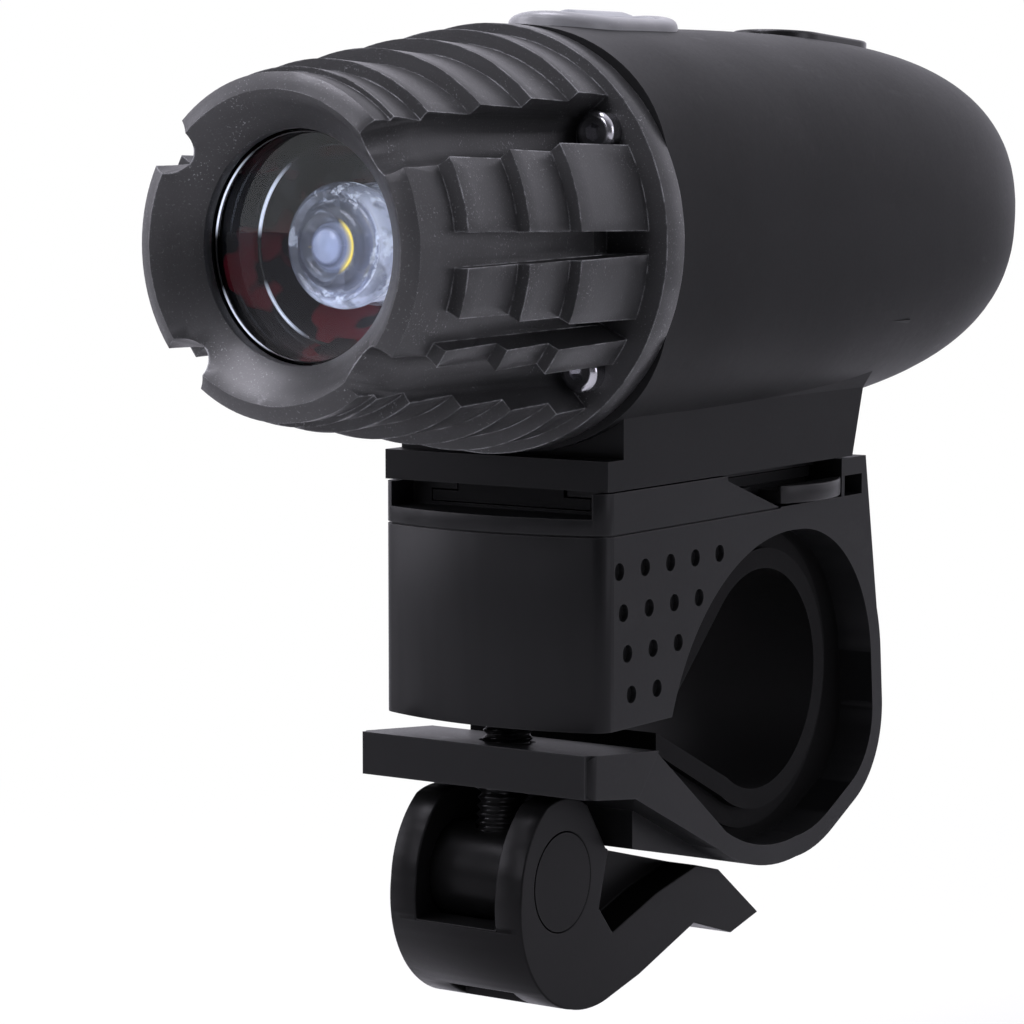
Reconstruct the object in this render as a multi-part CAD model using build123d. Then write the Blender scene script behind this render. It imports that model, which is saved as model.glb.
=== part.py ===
"""Bicycle headlight on a quick-release handlebar clamp, in millimetres, +Z up.

The origin is the centre of the handlebar seat.  The handlebar runs along X, the light
shines along -Y, and +Z is up.  The light's own pieces are drawn from the front ridge of
its head, with Y to the rear and Z up from the beam axis, and are then set on the clamp.
"""
import os
from math import atan, cos, degrees, pi, radians, sin, sqrt, tan

from build123d import *

# Clearances, and how far cutters run past the surface that they cut
overrun = 3.0
running_gap = 0.15          # between flat faces that slide on each other
fit_gap = 0.1               # between pieces that are pushed together
loose_gap = 0.3             # round pieces that hang or rock freely

# Lens, light source and its cooling
lens_radius = 11.7
lens_disc_thickness = 1.5
lens_cone_radius = 10.0
lens_tail_radius = 5.2
lens_cone_length = 9.2
lens_flank_place_share = 0.42    # of the cone's length, where its flank bulges
lens_flank_radius_share = 0.8    # from the cone's small radius to its large one
seal_thickness = 0.5
holder_foot = 2.0           # under the cone
holder_length = lens_cone_length + holder_foot
emitter_width = 5.0
emitter_thickness = 0.9
emitter_dome_radius = 2.2
emitter_hollow_radius = 2.9
led_board_radius = 10.6
led_board_thickness = 1.6
heat_plate_thickness = 4.0
heat_plate_rim_width = 2.4
heat_plate_skirt = 4.5

# Head housing: a turned body with stepped cooling plates
head_length = 35.2
flange_thickness = 3.0
flange_margin = 3.5         # from the screws' circle to the flange's edge
aperture_radius = lens_cone_radius + loose_gap
funnel_depth = 3.5
funnel_flare = 3.3
ridge_radius = aperture_radius + funnel_flare
bore_radius = lens_radius + loose_gap
rim_wall = 3.1
rim_radius = bore_radius + rim_wall
rim_depth = 0.8
lip_thickness = 1.1
plate_seat_step = 0.6
plate_seat_radius = bore_radius + plate_seat_step
neck_wall = 1.4
neck_radius = plate_seat_radius + neck_wall
plate_fall = 0.35           # each plate sinks this much towards its rear end
crown_place_shares = (0.085, 0.202, 0.392, 0.585, 0.767)    # of the head's length
crown_rise_shares = (0.1, 0.25, 0.46, 0.66, 0.86)         # of the step from rim to flange
row_place_shares = (0.165, 0.392, 0.585)
row_rise_shares = (0.3, 0.49, 0.67)
upper_channel_angle = 37.0
lower_channel_angle = -46.0
channel_width = 4.9
channel_floor_wall = 1.4
channel_mouth_drop = 1.3    # of the channel's floor at the rim, below the rest
channel_mouth_length = 6.0
slot_angles = (0.0, -26.0)
slot_front_width = 3.1
slot_rear_width = 2.1
slot_start_share = 0.13     # of the head's length
pocket_length = 4.6
pocket_floor_wall = 1.5

# Screws that hold the head to the rear body
body_seal_width = 1.0
body_seal_thickness = 1.0
body_seal_inner = neck_radius + fit_gap
body_seal_outer = body_seal_inner + body_seal_width
screw_margin = 1.4          # from the seal to the screws' circle
screw_circle_radius = body_seal_outer + screw_margin
screw_head_radius = 1.95
screw_head_height = 1.8
screw_shank_radius = 1.0
screw_length = 7.0
screw_hole_gap = 0.2
screw_pilot_gap = 0.02
screw_socket_width = 1.5
screw_socket_depth = 0.9
flange_radius = screw_circle_radius + flange_margin

# Battery, its cradle and the electronics
cell_radius = 9.1
cell_length = 65.0
cell_button_radius = 2.9
cell_button_height = 0.5
cradle_gap = 0.2
cradle_wall = 1.25
cradle_end_wall = 1.2
cradle_mouth_half_angle = 52.0
tab_thickness = 0.4
tab_width = 6.0
tab_foot = 5.0
board_thickness = 1.0
board_width = 14.0
board_setback = 7.0         # of the board's end from the cell's
board_length = cell_length - board_setback
board_lift = 1.3            # of the board above the cell
board_height = cell_radius + board_lift
board_arm_thickness = 1.3
switch_width = 6.0
switch_height = 3.4
switch_case_share = 0.8     # of the switch's height
switch_plunger_radius = 1.7
socket_width = 7.5
socket_depth = 2.8
socket_shell = 0.4
socket_floor_share = 1 / 3
socket_blade_share = 0.75

# Rear body: a rounded tube with softly flattened sides and a blunt tail
body_half_width = flange_radius - fit_gap
body_half_height = flange_radius
side_press = 0.4
body_flat_half_width = body_half_width - side_press
body_flat_hardness = 14.0
section_power = 2.3
tail_power = 6.6
tail_round = 2.47
tail_rise = 1.5
tail_rise_power = 1.5
body_wall = 2.0
neck_length = 8.0
cell_setback = 2.2          # of the cell behind the neck
cell_front = head_length + neck_length + cell_setback
tail_room = 14.4            # behind the cell
light_length = cell_front + cell_length + tail_room
tail_radius_shares = (0.975, 0.94, 0.88, 0.79, 0.66, 0.48, 0.27, 0.09)
straight_sections = 4       # even sections between the neck and the tail
section_points = 28
smallest_section = 1.5
inset_room_share = 1.5      # of the inset, kept clear in the smallest section
guide_rib_thickness = 1.6
guide_rib_overlap = 1.6
guide_rib_stop = cell_front + cell_length + guide_rib_overlap

# Clamp bracket: block, rail and strap in one moulding
bracket_half_width = 12.67
seat_radius = 11.1
liner_wall = 4.55
opening_radius = seat_radius + liner_wall
opening_centre = (4.4, -0.9)
corner_radius = 8.0
corner_reach = 9.3
corner_angle = -30.0
roof_wall = 4.25
block_top = opening_centre[1] + opening_radius + roof_wall
rail_thickness = 2.2
rail_top = block_top + rail_thickness
rail_rear = 18.4
block_front = -31.6
block_bow = 2.6
block_corner = 2.0           # round of the block's upright front edges
mouth_half_width = 11.4      # of the recess in front of the rail's channel
mouth_rear = -28.4
mouth_rise = 2.35            # of the recess, up to the rail's top
seam_drop = 1.65             # of the seam line below the block's top
seam_width = 0.2
seam_depth = 0.3
block_bottom = -1.1
strap_thickness = 2.1
gap_height = 1.6             # slit between the block and the lever seat
block_heel = -19.8           # rear lower edge of the block
front_arc_shares = (-0.99, 0.715)    # of the opening's radius, from its centre
seat_half_width = 13.15
seat_front = -35.2
seat_thickness = 4.1
seat_slope = 5.3
seat_rear = -22.9
strap_bend_shares = (-0.888, -0.83)  # of the opening's radius, from its centre
strap_belly_shares = (-0.54, -0.965)
strap_root_thickness = 3.6
belly_rib_half_width = 9.5
belly_rib_front = -21.8
belly_rib_drop = 2.7
channel_side_gap = 0.3
window_start = -9.6
window_lip = 0.5
dimple_radius = 0.85
dimple_depth = 0.6
dimple_pitch = 4.55
dimple_rows = (5, 4, 3, 2)
dimple_row_pitch = 3.92
dimple_drop = 5.2            # of the first row below the block's top
dimple_first_height = block_top - dimple_drop
dimple_inset = 2.3           # of the first dimple behind the block's front
dimple_first_place = block_front + dimple_inset
dimple_row_shift = 0.73
latch_hole_length = 3.7
latch_hole_height = 2.1
latch_hole_depth = 2.5
latch_hole_web = 0.6

# Place of the light over the handlebar
front_reach = 65.2          # front ridge of the head, ahead of the handlebar's centre
foot_rise = 3.15            # of the body's underside above the rail
beam_height = rail_top + running_gap + foot_rise + body_half_height

# Foot of the rear body and the tongue under it
foot_half_width = bracket_half_width
foot_setback = 1.4
foot_front = head_length + foot_setback
toe_length = 2.7            # of the foot's toe, under the head's flange
foot_rear = 80.7
foot_rear_lean = 3.6
foot_drop = beam_height - rail_top - running_gap
foot_blend_radius = 7.0
foot_blend_height_share = 0.46   # of the body's half height, where the blend ends
foot_inset_share = 0.985         # of the body's half width there
foot_bend_shares = (0.22, 1.05)  # of the step from wall to body
tongue_head_half_width = 9.0
tongue_neck_half_width = 6.0
tongue_head_thickness = 1.0

# Power button on top, behind the flange
button_setback = 15.8       # of its middle behind the head
button_place = head_length + button_setback
surround_length = 20.6
surround_width = 11.6
surround_proud = 1.3
surround_wall = 1.9
surround_seat_depth = 1.7
button_gap = 0.25
button_proud = 0.25
button_skirt_depth = 2.2
button_stem_radius = 1.6
button_travel = 0.6

# Rubber cover over the charging socket
cover_tail_room = 33.3      # from its middle to the body's tail
cover_place = light_length - cover_tail_room
cover_length = 19.0
cover_width = 9.6
cover_thickness = 1.15
cover_seat_depth = 0.8
cover_slope = 3.7
cover_roll_share = 0.8      # of the height that stands proud
cover_plug_width = 8.0
cover_plug_depth = 1.0
cover_plug_setback = 4.6    # from the cover's rear end to the middle of its plug
port_length = 5.2
port_width = 9.2

# Release tabs in the rail's side windows
release_tab_front = 0.8
release_tab_rear_gap = 0.3
release_tab_length = 12.2
release_tab_height = 1.8
release_tab_drop = 1.7      # from the block's top down to the window's floor
release_tab_floor = block_top - release_tab_drop
release_tab_arm_height = 1.3
release_tab_arm_reach = 2.77
release_tab_proud = 1.7
release_tab_travel = 1.3

# Rubber liner of the clamp
liner_half_width = 10.8
liner_step = 2.0
liner_side_step = 1.0
liner_upper_angle = 132.0
liner_lower_angle = 236.0
liner_throat = 17.6          # front end of the liner's throat, ahead of the seat's centre

# Cam lever, its trunnion pin and the clamp bolt
cam_radius = 8.0
cam_front_radius = 7.0
cam_gap = 0.6                # between the lever's crown and the seat plate
pin_setback = 4.3            # of the pin behind the seat plate's front edge
pin_radius = 4.7
pin_clearance = 0.08
lever_half_width = 7.5
fork_half_gap = 4.5
lever_lip_drop = 3.7
lever_web_half_width = 4.0
lever_recess_width = 7.2
lever_recess_length = 5.0
lever_recess_depth = 2.2
crown_front_angle = 20.0
crown_rear_angle = 32.0
cam_bend_angle = 38.0
cam_bend_share = 1.06
lever_chin_shares = (-0.62, -1.05)       # points of its side view, from the pin
lever_belly_shares = ((0.21, -1.575), (0.58, -1.635), (1.06, -1.585))
lever_tail_shares = ((1.72, -1.44), (3.01, -1.04), (3.92, -1.33), (4.59, -1.18))
lever_back_shares = ((3.6, -0.46), (0.95, 0.25))
lever_hollow_shares = ((1.05, 0.4), (0.8, -0.45), (1.1, -0.8), (2.12, -0.49), (3.6, -0.2))
bolt_radius = 2.45
bolt_tilt = 8.1
bolt_below_pin = 3.4
bolt_over_nut = 3.0          # room above the bolt's end
nut_width = 8.0
nut_thickness = 4.0
nut_floor = 1.3              # wall under the nut
bolt_clearance = 0.3


def turned(points):
    """Solid turned about Y from points given as radius and place along Y."""
    return revolve(make_face(Polyline(*points, close=True)), Axis.Y)


def ring(outer, inner, start, end):
    """Tube about Y between two places."""
    return turned([(inner, start), (outer, start), (outer, end), (inner, end)])


def disc(radius, start, end):
    """Round plate about Y between two places."""
    return turned([(0, start), (radius, start), (radius, end), (0, end)])


def side_solid(face, half_width):
    """Outline drawn in Y and Z, made solid to both sides of the middle plane."""
    return extrude(Plane.YZ * face, amount=half_width, both=True)


def side_polygon(points, half_width):
    """Polygon drawn in Y and Z, made solid to both sides of the middle plane."""
    return side_solid(make_face(Polyline(*points, close=True)), half_width)


def brick(x_range, y_range, z_range):
    """Box between the given limits along each axis."""
    sizes = [high - low for low, high in (x_range, y_range, z_range)]
    middles = [(high + low) / 2 for low, high in (x_range, y_range, z_range)]
    return Pos(*middles) * Box(*sizes)


def long_oval(length, width, low, high):
    """Upright solid, oval in plan and long along Y, between two heights."""
    face = Pos(0, 0, low) * (Rot(0, 0, 90) * SlotOverall(length, width))
    return extrude(face, amount=high - low)


def around_beam(shape, angle):
    """Turn a shape from the +X side to an angle above the horizontal."""
    return Rot(0, -angle, 0) * shape


def both_sides(shape):
    """A shape of the right-hand side and its mirror image."""
    return [shape, mirror(shape, Plane.YZ)]


def joined(shapes):
    """All shapes fused into one."""
    result = shapes[0]
    for shape in shapes[1:]:
        result = result + shape
    return result


def set_on_clamp(shape):
    """Move a piece of the light from its own frame to its place over the handlebar."""
    return Pos(0, -front_reach, beam_height) * shape


def channel_angles():
    """Angles of the four screw channels round the beam axis."""
    right = (upper_channel_angle, lower_channel_angle)
    return right + tuple(180 - angle for angle in right)


def stepped_blank(place_shares, rise_shares):
    """Turned blank of the head whose plates stand out further at each step."""
    flange_front = head_length - flange_thickness
    starts = [share * head_length for share in place_shares]
    ends = starts[1:] + [flange_front]
    points = [(0, 0), (ridge_radius, 0), (rim_radius, rim_depth), (rim_radius, starts[0])]
    for start, end, share in zip(starts, ends, rise_shares):
        radius = rim_radius + share * (flange_radius - rim_radius)
        points += [(radius, start), (radius - plate_fall, end)]
    points += [(flange_radius, flange_front), (flange_radius, head_length), (0, head_length)]
    return turned(points)


def side_sector():
    """Wedge that holds the rows of plates on the right-hand side."""
    reach = 2 * flange_radius
    corners = [(0, 0)]
    for angle in (lower_channel_angle, upper_channel_angle):
        corners.append((reach * cos(radians(angle)), reach * sin(radians(angle))))
    face = Plane.XZ * make_face(Polyline(*corners, close=True))
    return extrude(face, amount=-head_length)


def screw_channel():
    """Cutter of one screw channel, in front of the flange."""
    centre = bore_radius + channel_floor_wall + channel_width / 2
    face = Pos(centre, 0) * Circle(channel_width / 2)
    outer = Pos(centre + flange_radius / 2, 0) * Rectangle(flange_radius, channel_width)
    cutter = extrude(Plane.XZ * (face + outer), amount=-(head_length - flange_thickness + overrun))
    return Pos(0, -overrun, 0) * cutter


def channel_mouth():
    """Cutter that lets one screw channel run out through the rim, its floor falling forward."""
    slope = degrees(atan(channel_mouth_drop / channel_mouth_length))
    centre = bore_radius + channel_floor_wall + channel_width / 2
    length = channel_mouth_length + 2 * overrun
    face = Circle(channel_width / 2) + Pos(flange_radius / 2, 0) * Rectangle(flange_radius, channel_width)
    cutter = Pos(0, -length, 0) * extrude(Plane.XZ * face, amount=-length)
    return Pos(centre, channel_mouth_length, 0) * Rot(0, 0, -slope) * cutter


def plate_slot():
    """Cutter of one tapered slot between two rows of plates, with its deep rear pocket."""
    start = slot_start_share * head_length
    end = head_length - flange_thickness
    front, rear = slot_front_width / 2, slot_rear_width / 2
    outline = [(start, -front), (end, -rear), (end, rear), (start, front)]
    taper = extrude(Plane.YZ * make_face(Polyline(*outline, close=True)), amount=2 * flange_radius)
    shallow = taper & ring(2 * flange_radius, rim_radius, start, end)
    floor = bore_radius + pocket_floor_wall
    pocket = brick((floor, 2 * flange_radius), (end - pocket_length, end), (-rear, rear))
    return shallow + pocket


def head_housing():
    """Stepped and slotted metal head with its bore, notched rim and bolted flange."""
    sector = side_sector()
    sides = joined(both_sides(sector))
    body = stepped_blank(crown_place_shares, crown_rise_shares) - sides
    body = body + (stepped_blank(row_place_shares, row_rise_shares) & sides)
    for angle in channel_angles():
        body = body - around_beam(screw_channel(), angle)
        body = body - around_beam(channel_mouth(), angle)
        hole = Pos(screw_circle_radius, head_length, 0) * Rot(90, 0, 0) * Cylinder(
            screw_shank_radius + screw_hole_gap, 2 * (flange_thickness + overrun))
        body = body - around_beam(hole, angle)
    for angle in slot_angles:
        for slot in both_sides(around_beam(plate_slot(), angle)):
            body = body - slot
    shelf = led_stack_places()[2]
    bore = [(0, -overrun), (ridge_radius, 0), (aperture_radius, funnel_depth),
            (aperture_radius, lens_seat()), (bore_radius, lens_seat()), (bore_radius, shelf),
            (plate_seat_radius, shelf), (plate_seat_radius, head_length + overrun),
            (0, head_length + overrun)]
    return body - turned(bore)


def lens_seat():
    """Place of the shelf behind the head's lip, on which the lens seal lies."""
    return funnel_depth + lip_thickness


def led_stack_places():
    """Places of the lens disc, the light source's board and the heat plate, front to rear."""
    lens = lens_seat() + seal_thickness
    board = lens + lens_disc_thickness + holder_length
    return lens, board, board + led_board_thickness


def lens_seal():
    """Flat ring between the head's lip and the lens."""
    inner = aperture_radius + 2 * fit_gap
    return ring(bore_radius - fit_gap, inner, lens_seat(), lens_seat() + seal_thickness)


def lens_flank(mouth, foot, start):
    """Bulging side of the lens's cone, from its wide front to its narrow tail."""
    middle = (foot + lens_flank_radius_share * (mouth - foot),
              start + lens_flank_place_share * lens_cone_length)
    return ThreePointArc((mouth, start), middle, (foot, start + lens_cone_length))


def lens_optic():
    """Clear lens: a flat disc with a solid cone behind it that gathers the light."""
    start = led_stack_places()[0]
    back = start + lens_disc_thickness
    tail = back + lens_cone_length
    flank = lens_flank(lens_cone_radius, lens_tail_radius, back)
    cap = Polyline((lens_tail_radius, tail), (emitter_hollow_radius, tail),
                   (emitter_hollow_radius, tail - emitter_hollow_radius),
                   (0, tail - emitter_hollow_radius), (0, start), (lens_radius, start),
                   (lens_radius, back), (lens_cone_radius, back))
    return revolve(make_face(flank + cap), Axis.Y)


def lens_holder():
    """Dark cup that holds the lens over the light source."""
    start = led_stack_places()[0] + lens_disc_thickness
    end = start + holder_length
    outer = bore_radius - fit_gap
    mouth = lens_cone_radius + 2 * fit_gap
    foot = lens_tail_radius + loose_gap
    flank = lens_flank(mouth, foot, start)
    rest = Polyline((foot, start + lens_cone_length), (foot, end), (outer, end),
                    (outer, start), (mouth, start))
    return revolve(make_face(flank + rest), Axis.Y)


def led_emitter():
    """Square light source with its clear dome, standing on its board."""
    board = led_stack_places()[1]
    half = emitter_width / 2
    base = brick((-half, half), (board - emitter_thickness, board), (-half, half))
    dome = Pos(0, board - emitter_thickness, 0) * Sphere(emitter_dome_radius)
    front = brick((-half, half), (board - emitter_width, board - emitter_thickness), (-half, half))
    return base + (dome & front)


def led_board():
    """Round metal board that carries the light source."""
    board = led_stack_places()[1]
    plate = disc(led_board_radius, board, board + led_board_thickness)
    notch = Pos(led_board_radius, board, 0) * Rot(90, 0, 0) * Cylinder(
        screw_head_radius, 2 * (led_board_thickness + overrun))
    for angle in channel_angles():
        plate = plate - around_beam(notch, angle)
    return plate


def heat_plate():
    """Aluminium plug with a skirt that carries the heat into the head."""
    start = led_stack_places()[2]
    outer = plate_seat_radius - fit_gap
    solid = disc(outer, start, start + heat_plate_thickness)
    skirt = ring(outer, outer - heat_plate_rim_width, start + heat_plate_thickness,
                 start + heat_plate_thickness + heat_plate_skirt)
    return solid + skirt


def head_screw():
    """One button-head screw with a hexagon socket, pointing to the rear on the +X side."""
    seat = head_length - flange_thickness
    head = disc(screw_head_radius, seat - screw_head_height, seat)
    head = fillet(head.edges().group_by(Axis.Y)[0], screw_head_height / 3)
    shank = disc(screw_shank_radius, seat, seat + screw_length)
    socket = extrude(Plane.XZ * RegularPolygon(screw_socket_width / 2, 6, major_radius=False),
                     amount=-(screw_socket_depth + overrun))
    socket = Pos(0, seat - screw_head_height - overrun, 0) * socket
    return Pos(screw_circle_radius, 0, 0) * (head + shank - socket)


def head_screws():
    """The four screws of the head."""
    return Compound([around_beam(head_screw(), angle) for angle in channel_angles()])


def body_seal():
    """Rubber ring between the head's flange and the rear body."""
    return ring(body_seal_outer, body_seal_inner, head_length, head_length + body_seal_thickness)


def body_share(place):
    """Share of the full section that is left at a place along the body."""
    along = place / light_length
    return max(0.0, 1 - along ** tail_power) ** (1 / tail_round)


def body_place(share):
    """Place along the body where the given share of the full section is left."""
    return light_length * (1 - share ** tail_round) ** (1 / tail_power)


def body_centre(place):
    """Height of the section's centre above the beam axis."""
    along = max(0.0, place - head_length) / (light_length - head_length)
    return tail_rise * along ** tail_rise_power


def body_top(place):
    """Height of the body's top line above the beam axis."""
    return body_centre(place) + body_half_height * body_share(place)


def section_face(place, inset):
    """Rounded section of the body, its sides pressed flat, moved in by the inset."""
    half_width = body_half_width * body_share(place) - inset
    half_height = body_half_height * body_share(place) - inset
    flat = body_flat_half_width - inset
    points = []
    for index in range(section_points):
        angle = 2 * pi * index / section_points
        across, up = cos(angle), sin(angle)
        x = half_width * abs(across) ** (2 / section_power)
        x = x / (1 + (x / flat) ** body_flat_hardness) ** (1 / body_flat_hardness)
        z = half_height * abs(up) ** (2 / section_power)
        points.append((x if across > 0 else -x, z if up > 0 else -z))
    plane = Plane(origin=(0, place, body_centre(place)), x_dir=(1, 0, 0), z_dir=(0, -1, 0))
    return plane * make_face(Spline(*points, periodic=True))


def body_loft(start, inset):
    """Body of the rear housing from a place to its blunt tail, moved in by the inset."""
    tail = [body_place(share) for share in tail_radius_shares]
    pitch = (tail[0] - start) / straight_sections
    places = [start + index * pitch for index in range(straight_sections)] + tail
    faces = [section_face(place, inset) for place in places
             if body_half_width * body_share(place) > smallest_section + inset_room_share * inset]
    return loft(faces)


def foot_solid():
    """Foot under the body: upright walls that sweep out to meet the round underside."""
    wall = foot_half_width
    top = -foot_blend_height_share * body_half_height
    reach = sqrt(body_half_width ** 2 - top ** 2) * foot_inset_share
    step = reach - wall
    bend = (wall + step * foot_bend_shares[0], top - step * foot_bend_shares[1])
    low = top - foot_blend_radius
    right = Polyline((0, 0), (reach, top)) + ThreePointArc((reach, top), bend, (wall, low))
    right = right + Polyline((wall, low), (wall, -foot_drop), (0, -foot_drop), (0, 0))
    half = extrude(Plane.XZ * make_face(right), amount=-(foot_rear + foot_rear_lean))
    block = joined(both_sides(half))
    side = [(foot_front, 0), (foot_rear + 2 * foot_rear_lean, 0), (foot_rear, -foot_drop),
            (foot_front, -foot_drop)]
    toe = brick((-wall, wall), (foot_front - toe_length, foot_front),
                (-foot_drop, -flange_radius - loose_gap))
    return (block & side_polygon(side, 2 * foot_half_width)) + toe


def tongue():
    """T-shaped tongue under the foot that slides in the bracket's rail."""
    front = foot_front
    rear = front_reach + tongue_rear()
    low = -foot_drop
    neck_low = low - (rail_top + running_gap - tongue_levels()[1])
    head_low = neck_low - tongue_head_thickness
    neck = brick((-tongue_neck_half_width, tongue_neck_half_width), (front, rear), (neck_low, low))
    head = brick((-tongue_head_half_width, tongue_head_half_width), (front, rear), (head_low, neck_low))
    return neck + head


def tongue_levels():
    """Underside and top of the tongue's head, above the handlebar's centre."""
    under = block_top + 2 * running_gap
    return under, under + tongue_head_thickness


def tongue_rear():
    """Rear end of the tongue, behind the handlebar's centre."""
    return release_tab_front + release_tab_length


def button_frame():
    """Place of the power button on the body's top line."""
    return Pos(0, button_place, body_top(button_place))


def cover_frame():
    """Place of the socket cover, leaning with the falling top line."""
    return Pos(0, cover_place, body_top(cover_place)) * Rot(-cover_slope, 0, 0)


def rear_body():
    """Rear housing with its foot, tongue, screw bosses, guide ribs and openings."""
    body = body_loft(head_length, 0) + foot_solid() + tongue()
    body = body - disc(neck_radius, head_length - overrun, head_length + neck_length + fit_gap)
    body = body - (body_loft(head_length + neck_length, body_wall) - guide_ribs())
    body = body - ring(body_seal_outer, neck_radius - overrun, head_length - overrun,
                       head_length + body_seal_thickness)
    pilot = Pos(screw_circle_radius, head_length, 0) * Rot(90, 0, 0) * Cylinder(
        screw_shank_radius + screw_pilot_gap, 2 * (screw_length - flange_thickness + screw_shank_radius))
    for angle in channel_angles():
        body = body - around_beam(pilot, angle)
    body = body - button_frame() * long_oval(surround_length, surround_width, -surround_seat_depth, overrun)
    body = body - button_frame() * button_hole(0, -body_wall - overrun)
    body = body - cover_frame() * cover_pocket()
    return body


def guide_ribs():
    """Ribs inside the housing on which the battery cradle rests."""
    inner = cell_radius + cradle_gap + cradle_wall + fit_gap
    half = guide_rib_thickness / 2
    rib = brick((inner, 2 * body_half_width), (head_length, guide_rib_stop), (-half, half))
    return [around_beam(rib, angle) for angle in (0, 180, -90)]


def button_hole(grow, low):
    """Oval hole for the button and its skirt."""
    length = surround_length - 2 * surround_wall + 2 * grow
    width = surround_width - 2 * surround_wall + 2 * grow
    return long_oval(length, width, low, overrun)


def crowned(shape, proud):
    """Trim a raised piece to a crown that follows the body's round top."""
    radius = body_half_height + proud
    limit = Pos(0, 0, -body_half_height) * Rot(90, 0, 0) * Cylinder(radius, 2 * surround_length)
    return shape & limit


def button_surround():
    """Raised oval frame round the power button."""
    frame = long_oval(surround_length, surround_width, -surround_seat_depth, 2 * surround_proud)
    frame = crowned(frame, surround_proud)
    frame = frame - button_hole(0, -body_wall - overrun)
    return button_frame() * frame


def power_button():
    """Oval pad that is pressed down on the switch under it."""
    length = surround_length - 2 * surround_wall - 2 * button_gap
    width = surround_width - 2 * surround_wall - 2 * button_gap
    pad = long_oval(length, width, -button_skirt_depth, 2 * surround_proud)
    pad = crowned(pad, surround_proud + button_proud)
    stem_end = switch_top() + button_travel + fit_gap - body_top(button_place)
    stem = Pos(0, 0, (stem_end - button_skirt_depth) / 2) * Cylinder(
        button_stem_radius, -stem_end - button_skirt_depth)
    return button_frame() * (pad + stem)


def switch_top():
    """Top of the switch's plunger above the beam axis."""
    return board_height + board_thickness + switch_height


def tactile_switch():
    """Push switch on the control board."""
    low = board_height + board_thickness
    half = switch_width / 2
    case_top = low + switch_height * switch_case_share
    case = brick((-half, half), (button_place - half, button_place + half), (low, case_top))
    plunger = Pos(0, button_place, (case_top + switch_top()) / 2) * Cylinder(
        switch_plunger_radius, switch_top() - case_top)
    return case + plunger


def control_board():
    """Circuit board that lies over the battery."""
    half = board_width / 2
    front = cell_front - cradle_end_wall
    return brick((-half, half), (front, front + board_length),
                 (board_height, board_height + board_thickness))


def plug_place():
    """Place of the cover's plug along the cover, from its middle."""
    return cover_length / 2 - cover_plug_setback


def cover_pocket():
    """Pocket in the body's top for the socket cover, with the port through its floor."""
    pocket = long_oval(cover_length + 2 * fit_gap, cover_width + 2 * fit_gap, -cover_seat_depth, overrun)
    port = brick((-port_width / 2, port_width / 2),
                 (plug_place() - port_length / 2, plug_place() + port_length / 2),
                 (-body_wall - overrun, 0))
    return pocket + port


def usb_socket():
    """Upright charging socket on the control board, under its port."""
    centre = (cover_frame() * Pos(0, plug_place(), 0)).position
    low = board_height + board_thickness
    high = centre.Z - body_wall - cover_seat_depth
    floor = low + socket_floor_share * (high - low)
    outer = brick((-socket_width / 2, socket_width / 2),
                  (centre.Y - socket_depth / 2, centre.Y + socket_depth / 2), (low, high))
    inner_width, inner_depth = socket_width / 2 - socket_shell, socket_depth / 2 - socket_shell
    hollow = brick((-inner_width, inner_width), (centre.Y - inner_depth, centre.Y + inner_depth),
                   (floor, high + overrun))
    half_blade = socket_blade_share * inner_width
    blade = brick((-half_blade, half_blade), (centre.Y - socket_shell / 2, centre.Y + socket_shell / 2),
                  (floor, high - socket_shell))
    return outer - hollow + blade


def port_cover():
    """Rubber flap over the charging port, hinged at its front end."""
    rise = cover_thickness - cover_seat_depth
    plate = long_oval(cover_length, cover_width, -cover_seat_depth, rise)
    plate = fillet(plate.edges().group_by(Axis.Z)[-1], rise * cover_roll_share)
    half_width, half_length = cover_plug_width / 2, (port_length - cover_plug_depth) / 2
    plug = brick((-half_width, half_width),
                 (plug_place() - half_length, plug_place() + half_length),
                 (-cover_seat_depth - cover_plug_depth, -cover_seat_depth))
    return cover_frame() * (plate + plug)


def battery_cell():
    """Round rechargeable cell with its raised end."""
    can = disc(cell_radius, cell_front + cell_button_height, cell_front + cell_length)
    can = fillet(can.edges(), cell_button_height)
    return can + disc(cell_button_radius, cell_front, cell_front + 2 * cell_button_height)


def battery_cradle():
    """Moulded trough that holds the cell, with arms for the control board."""
    inner = cell_radius + cradle_gap
    outer = inner + cradle_wall
    front = cell_front - tab_thickness - cradle_end_wall
    rear = cell_front + cell_length + tab_thickness + cradle_end_wall
    mouth = radians(cradle_mouth_half_angle)
    reach = 2 * outer
    gap = Polyline((0, 0), (reach * sin(mouth), reach * cos(mouth)),
                   (-reach * sin(mouth), reach * cos(mouth)), close=True)
    arms = []
    half_board = board_width / 2
    for side in (-1, 1):
        arm = Pos(side * (half_board - board_arm_thickness / 2), board_height / 2) * Rectangle(
            board_arm_thickness, board_height)
        arms.append(arm)
    section = Circle(outer) - make_face(gap) + joined(arms) - Circle(inner)
    trough = Pos(0, front, 0) * extrude(Plane.XZ * section, amount=-(rear - front))
    ends = disc(outer, front, front + cradle_end_wall) + disc(outer, rear - cradle_end_wall, rear)
    ends = ends & brick((-outer, outer), (front, rear), (-outer, cell_radius))
    return trough + ends


def battery_tabs():
    """Spring strips that touch the two ends of the cell and reach up to the board."""
    half = tab_width / 2
    top = board_height
    strips = []
    front = cell_front
    rear = cell_front + cell_length
    upright = brick((-half, half), (front - tab_thickness, front), (-half, top))
    foot = brick((-half, half), (front - tab_thickness, front + tab_foot), (top - tab_thickness, top))
    strips.append(upright + foot)
    upright = brick((-half, half), (rear, rear + tab_thickness), (-half, top))
    foot = brick((-half, half), (front + board_length - tab_foot, rear + tab_thickness),
                 (top - tab_thickness, top))
    strips.append(upright + foot)
    return Compound(strips)


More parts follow.
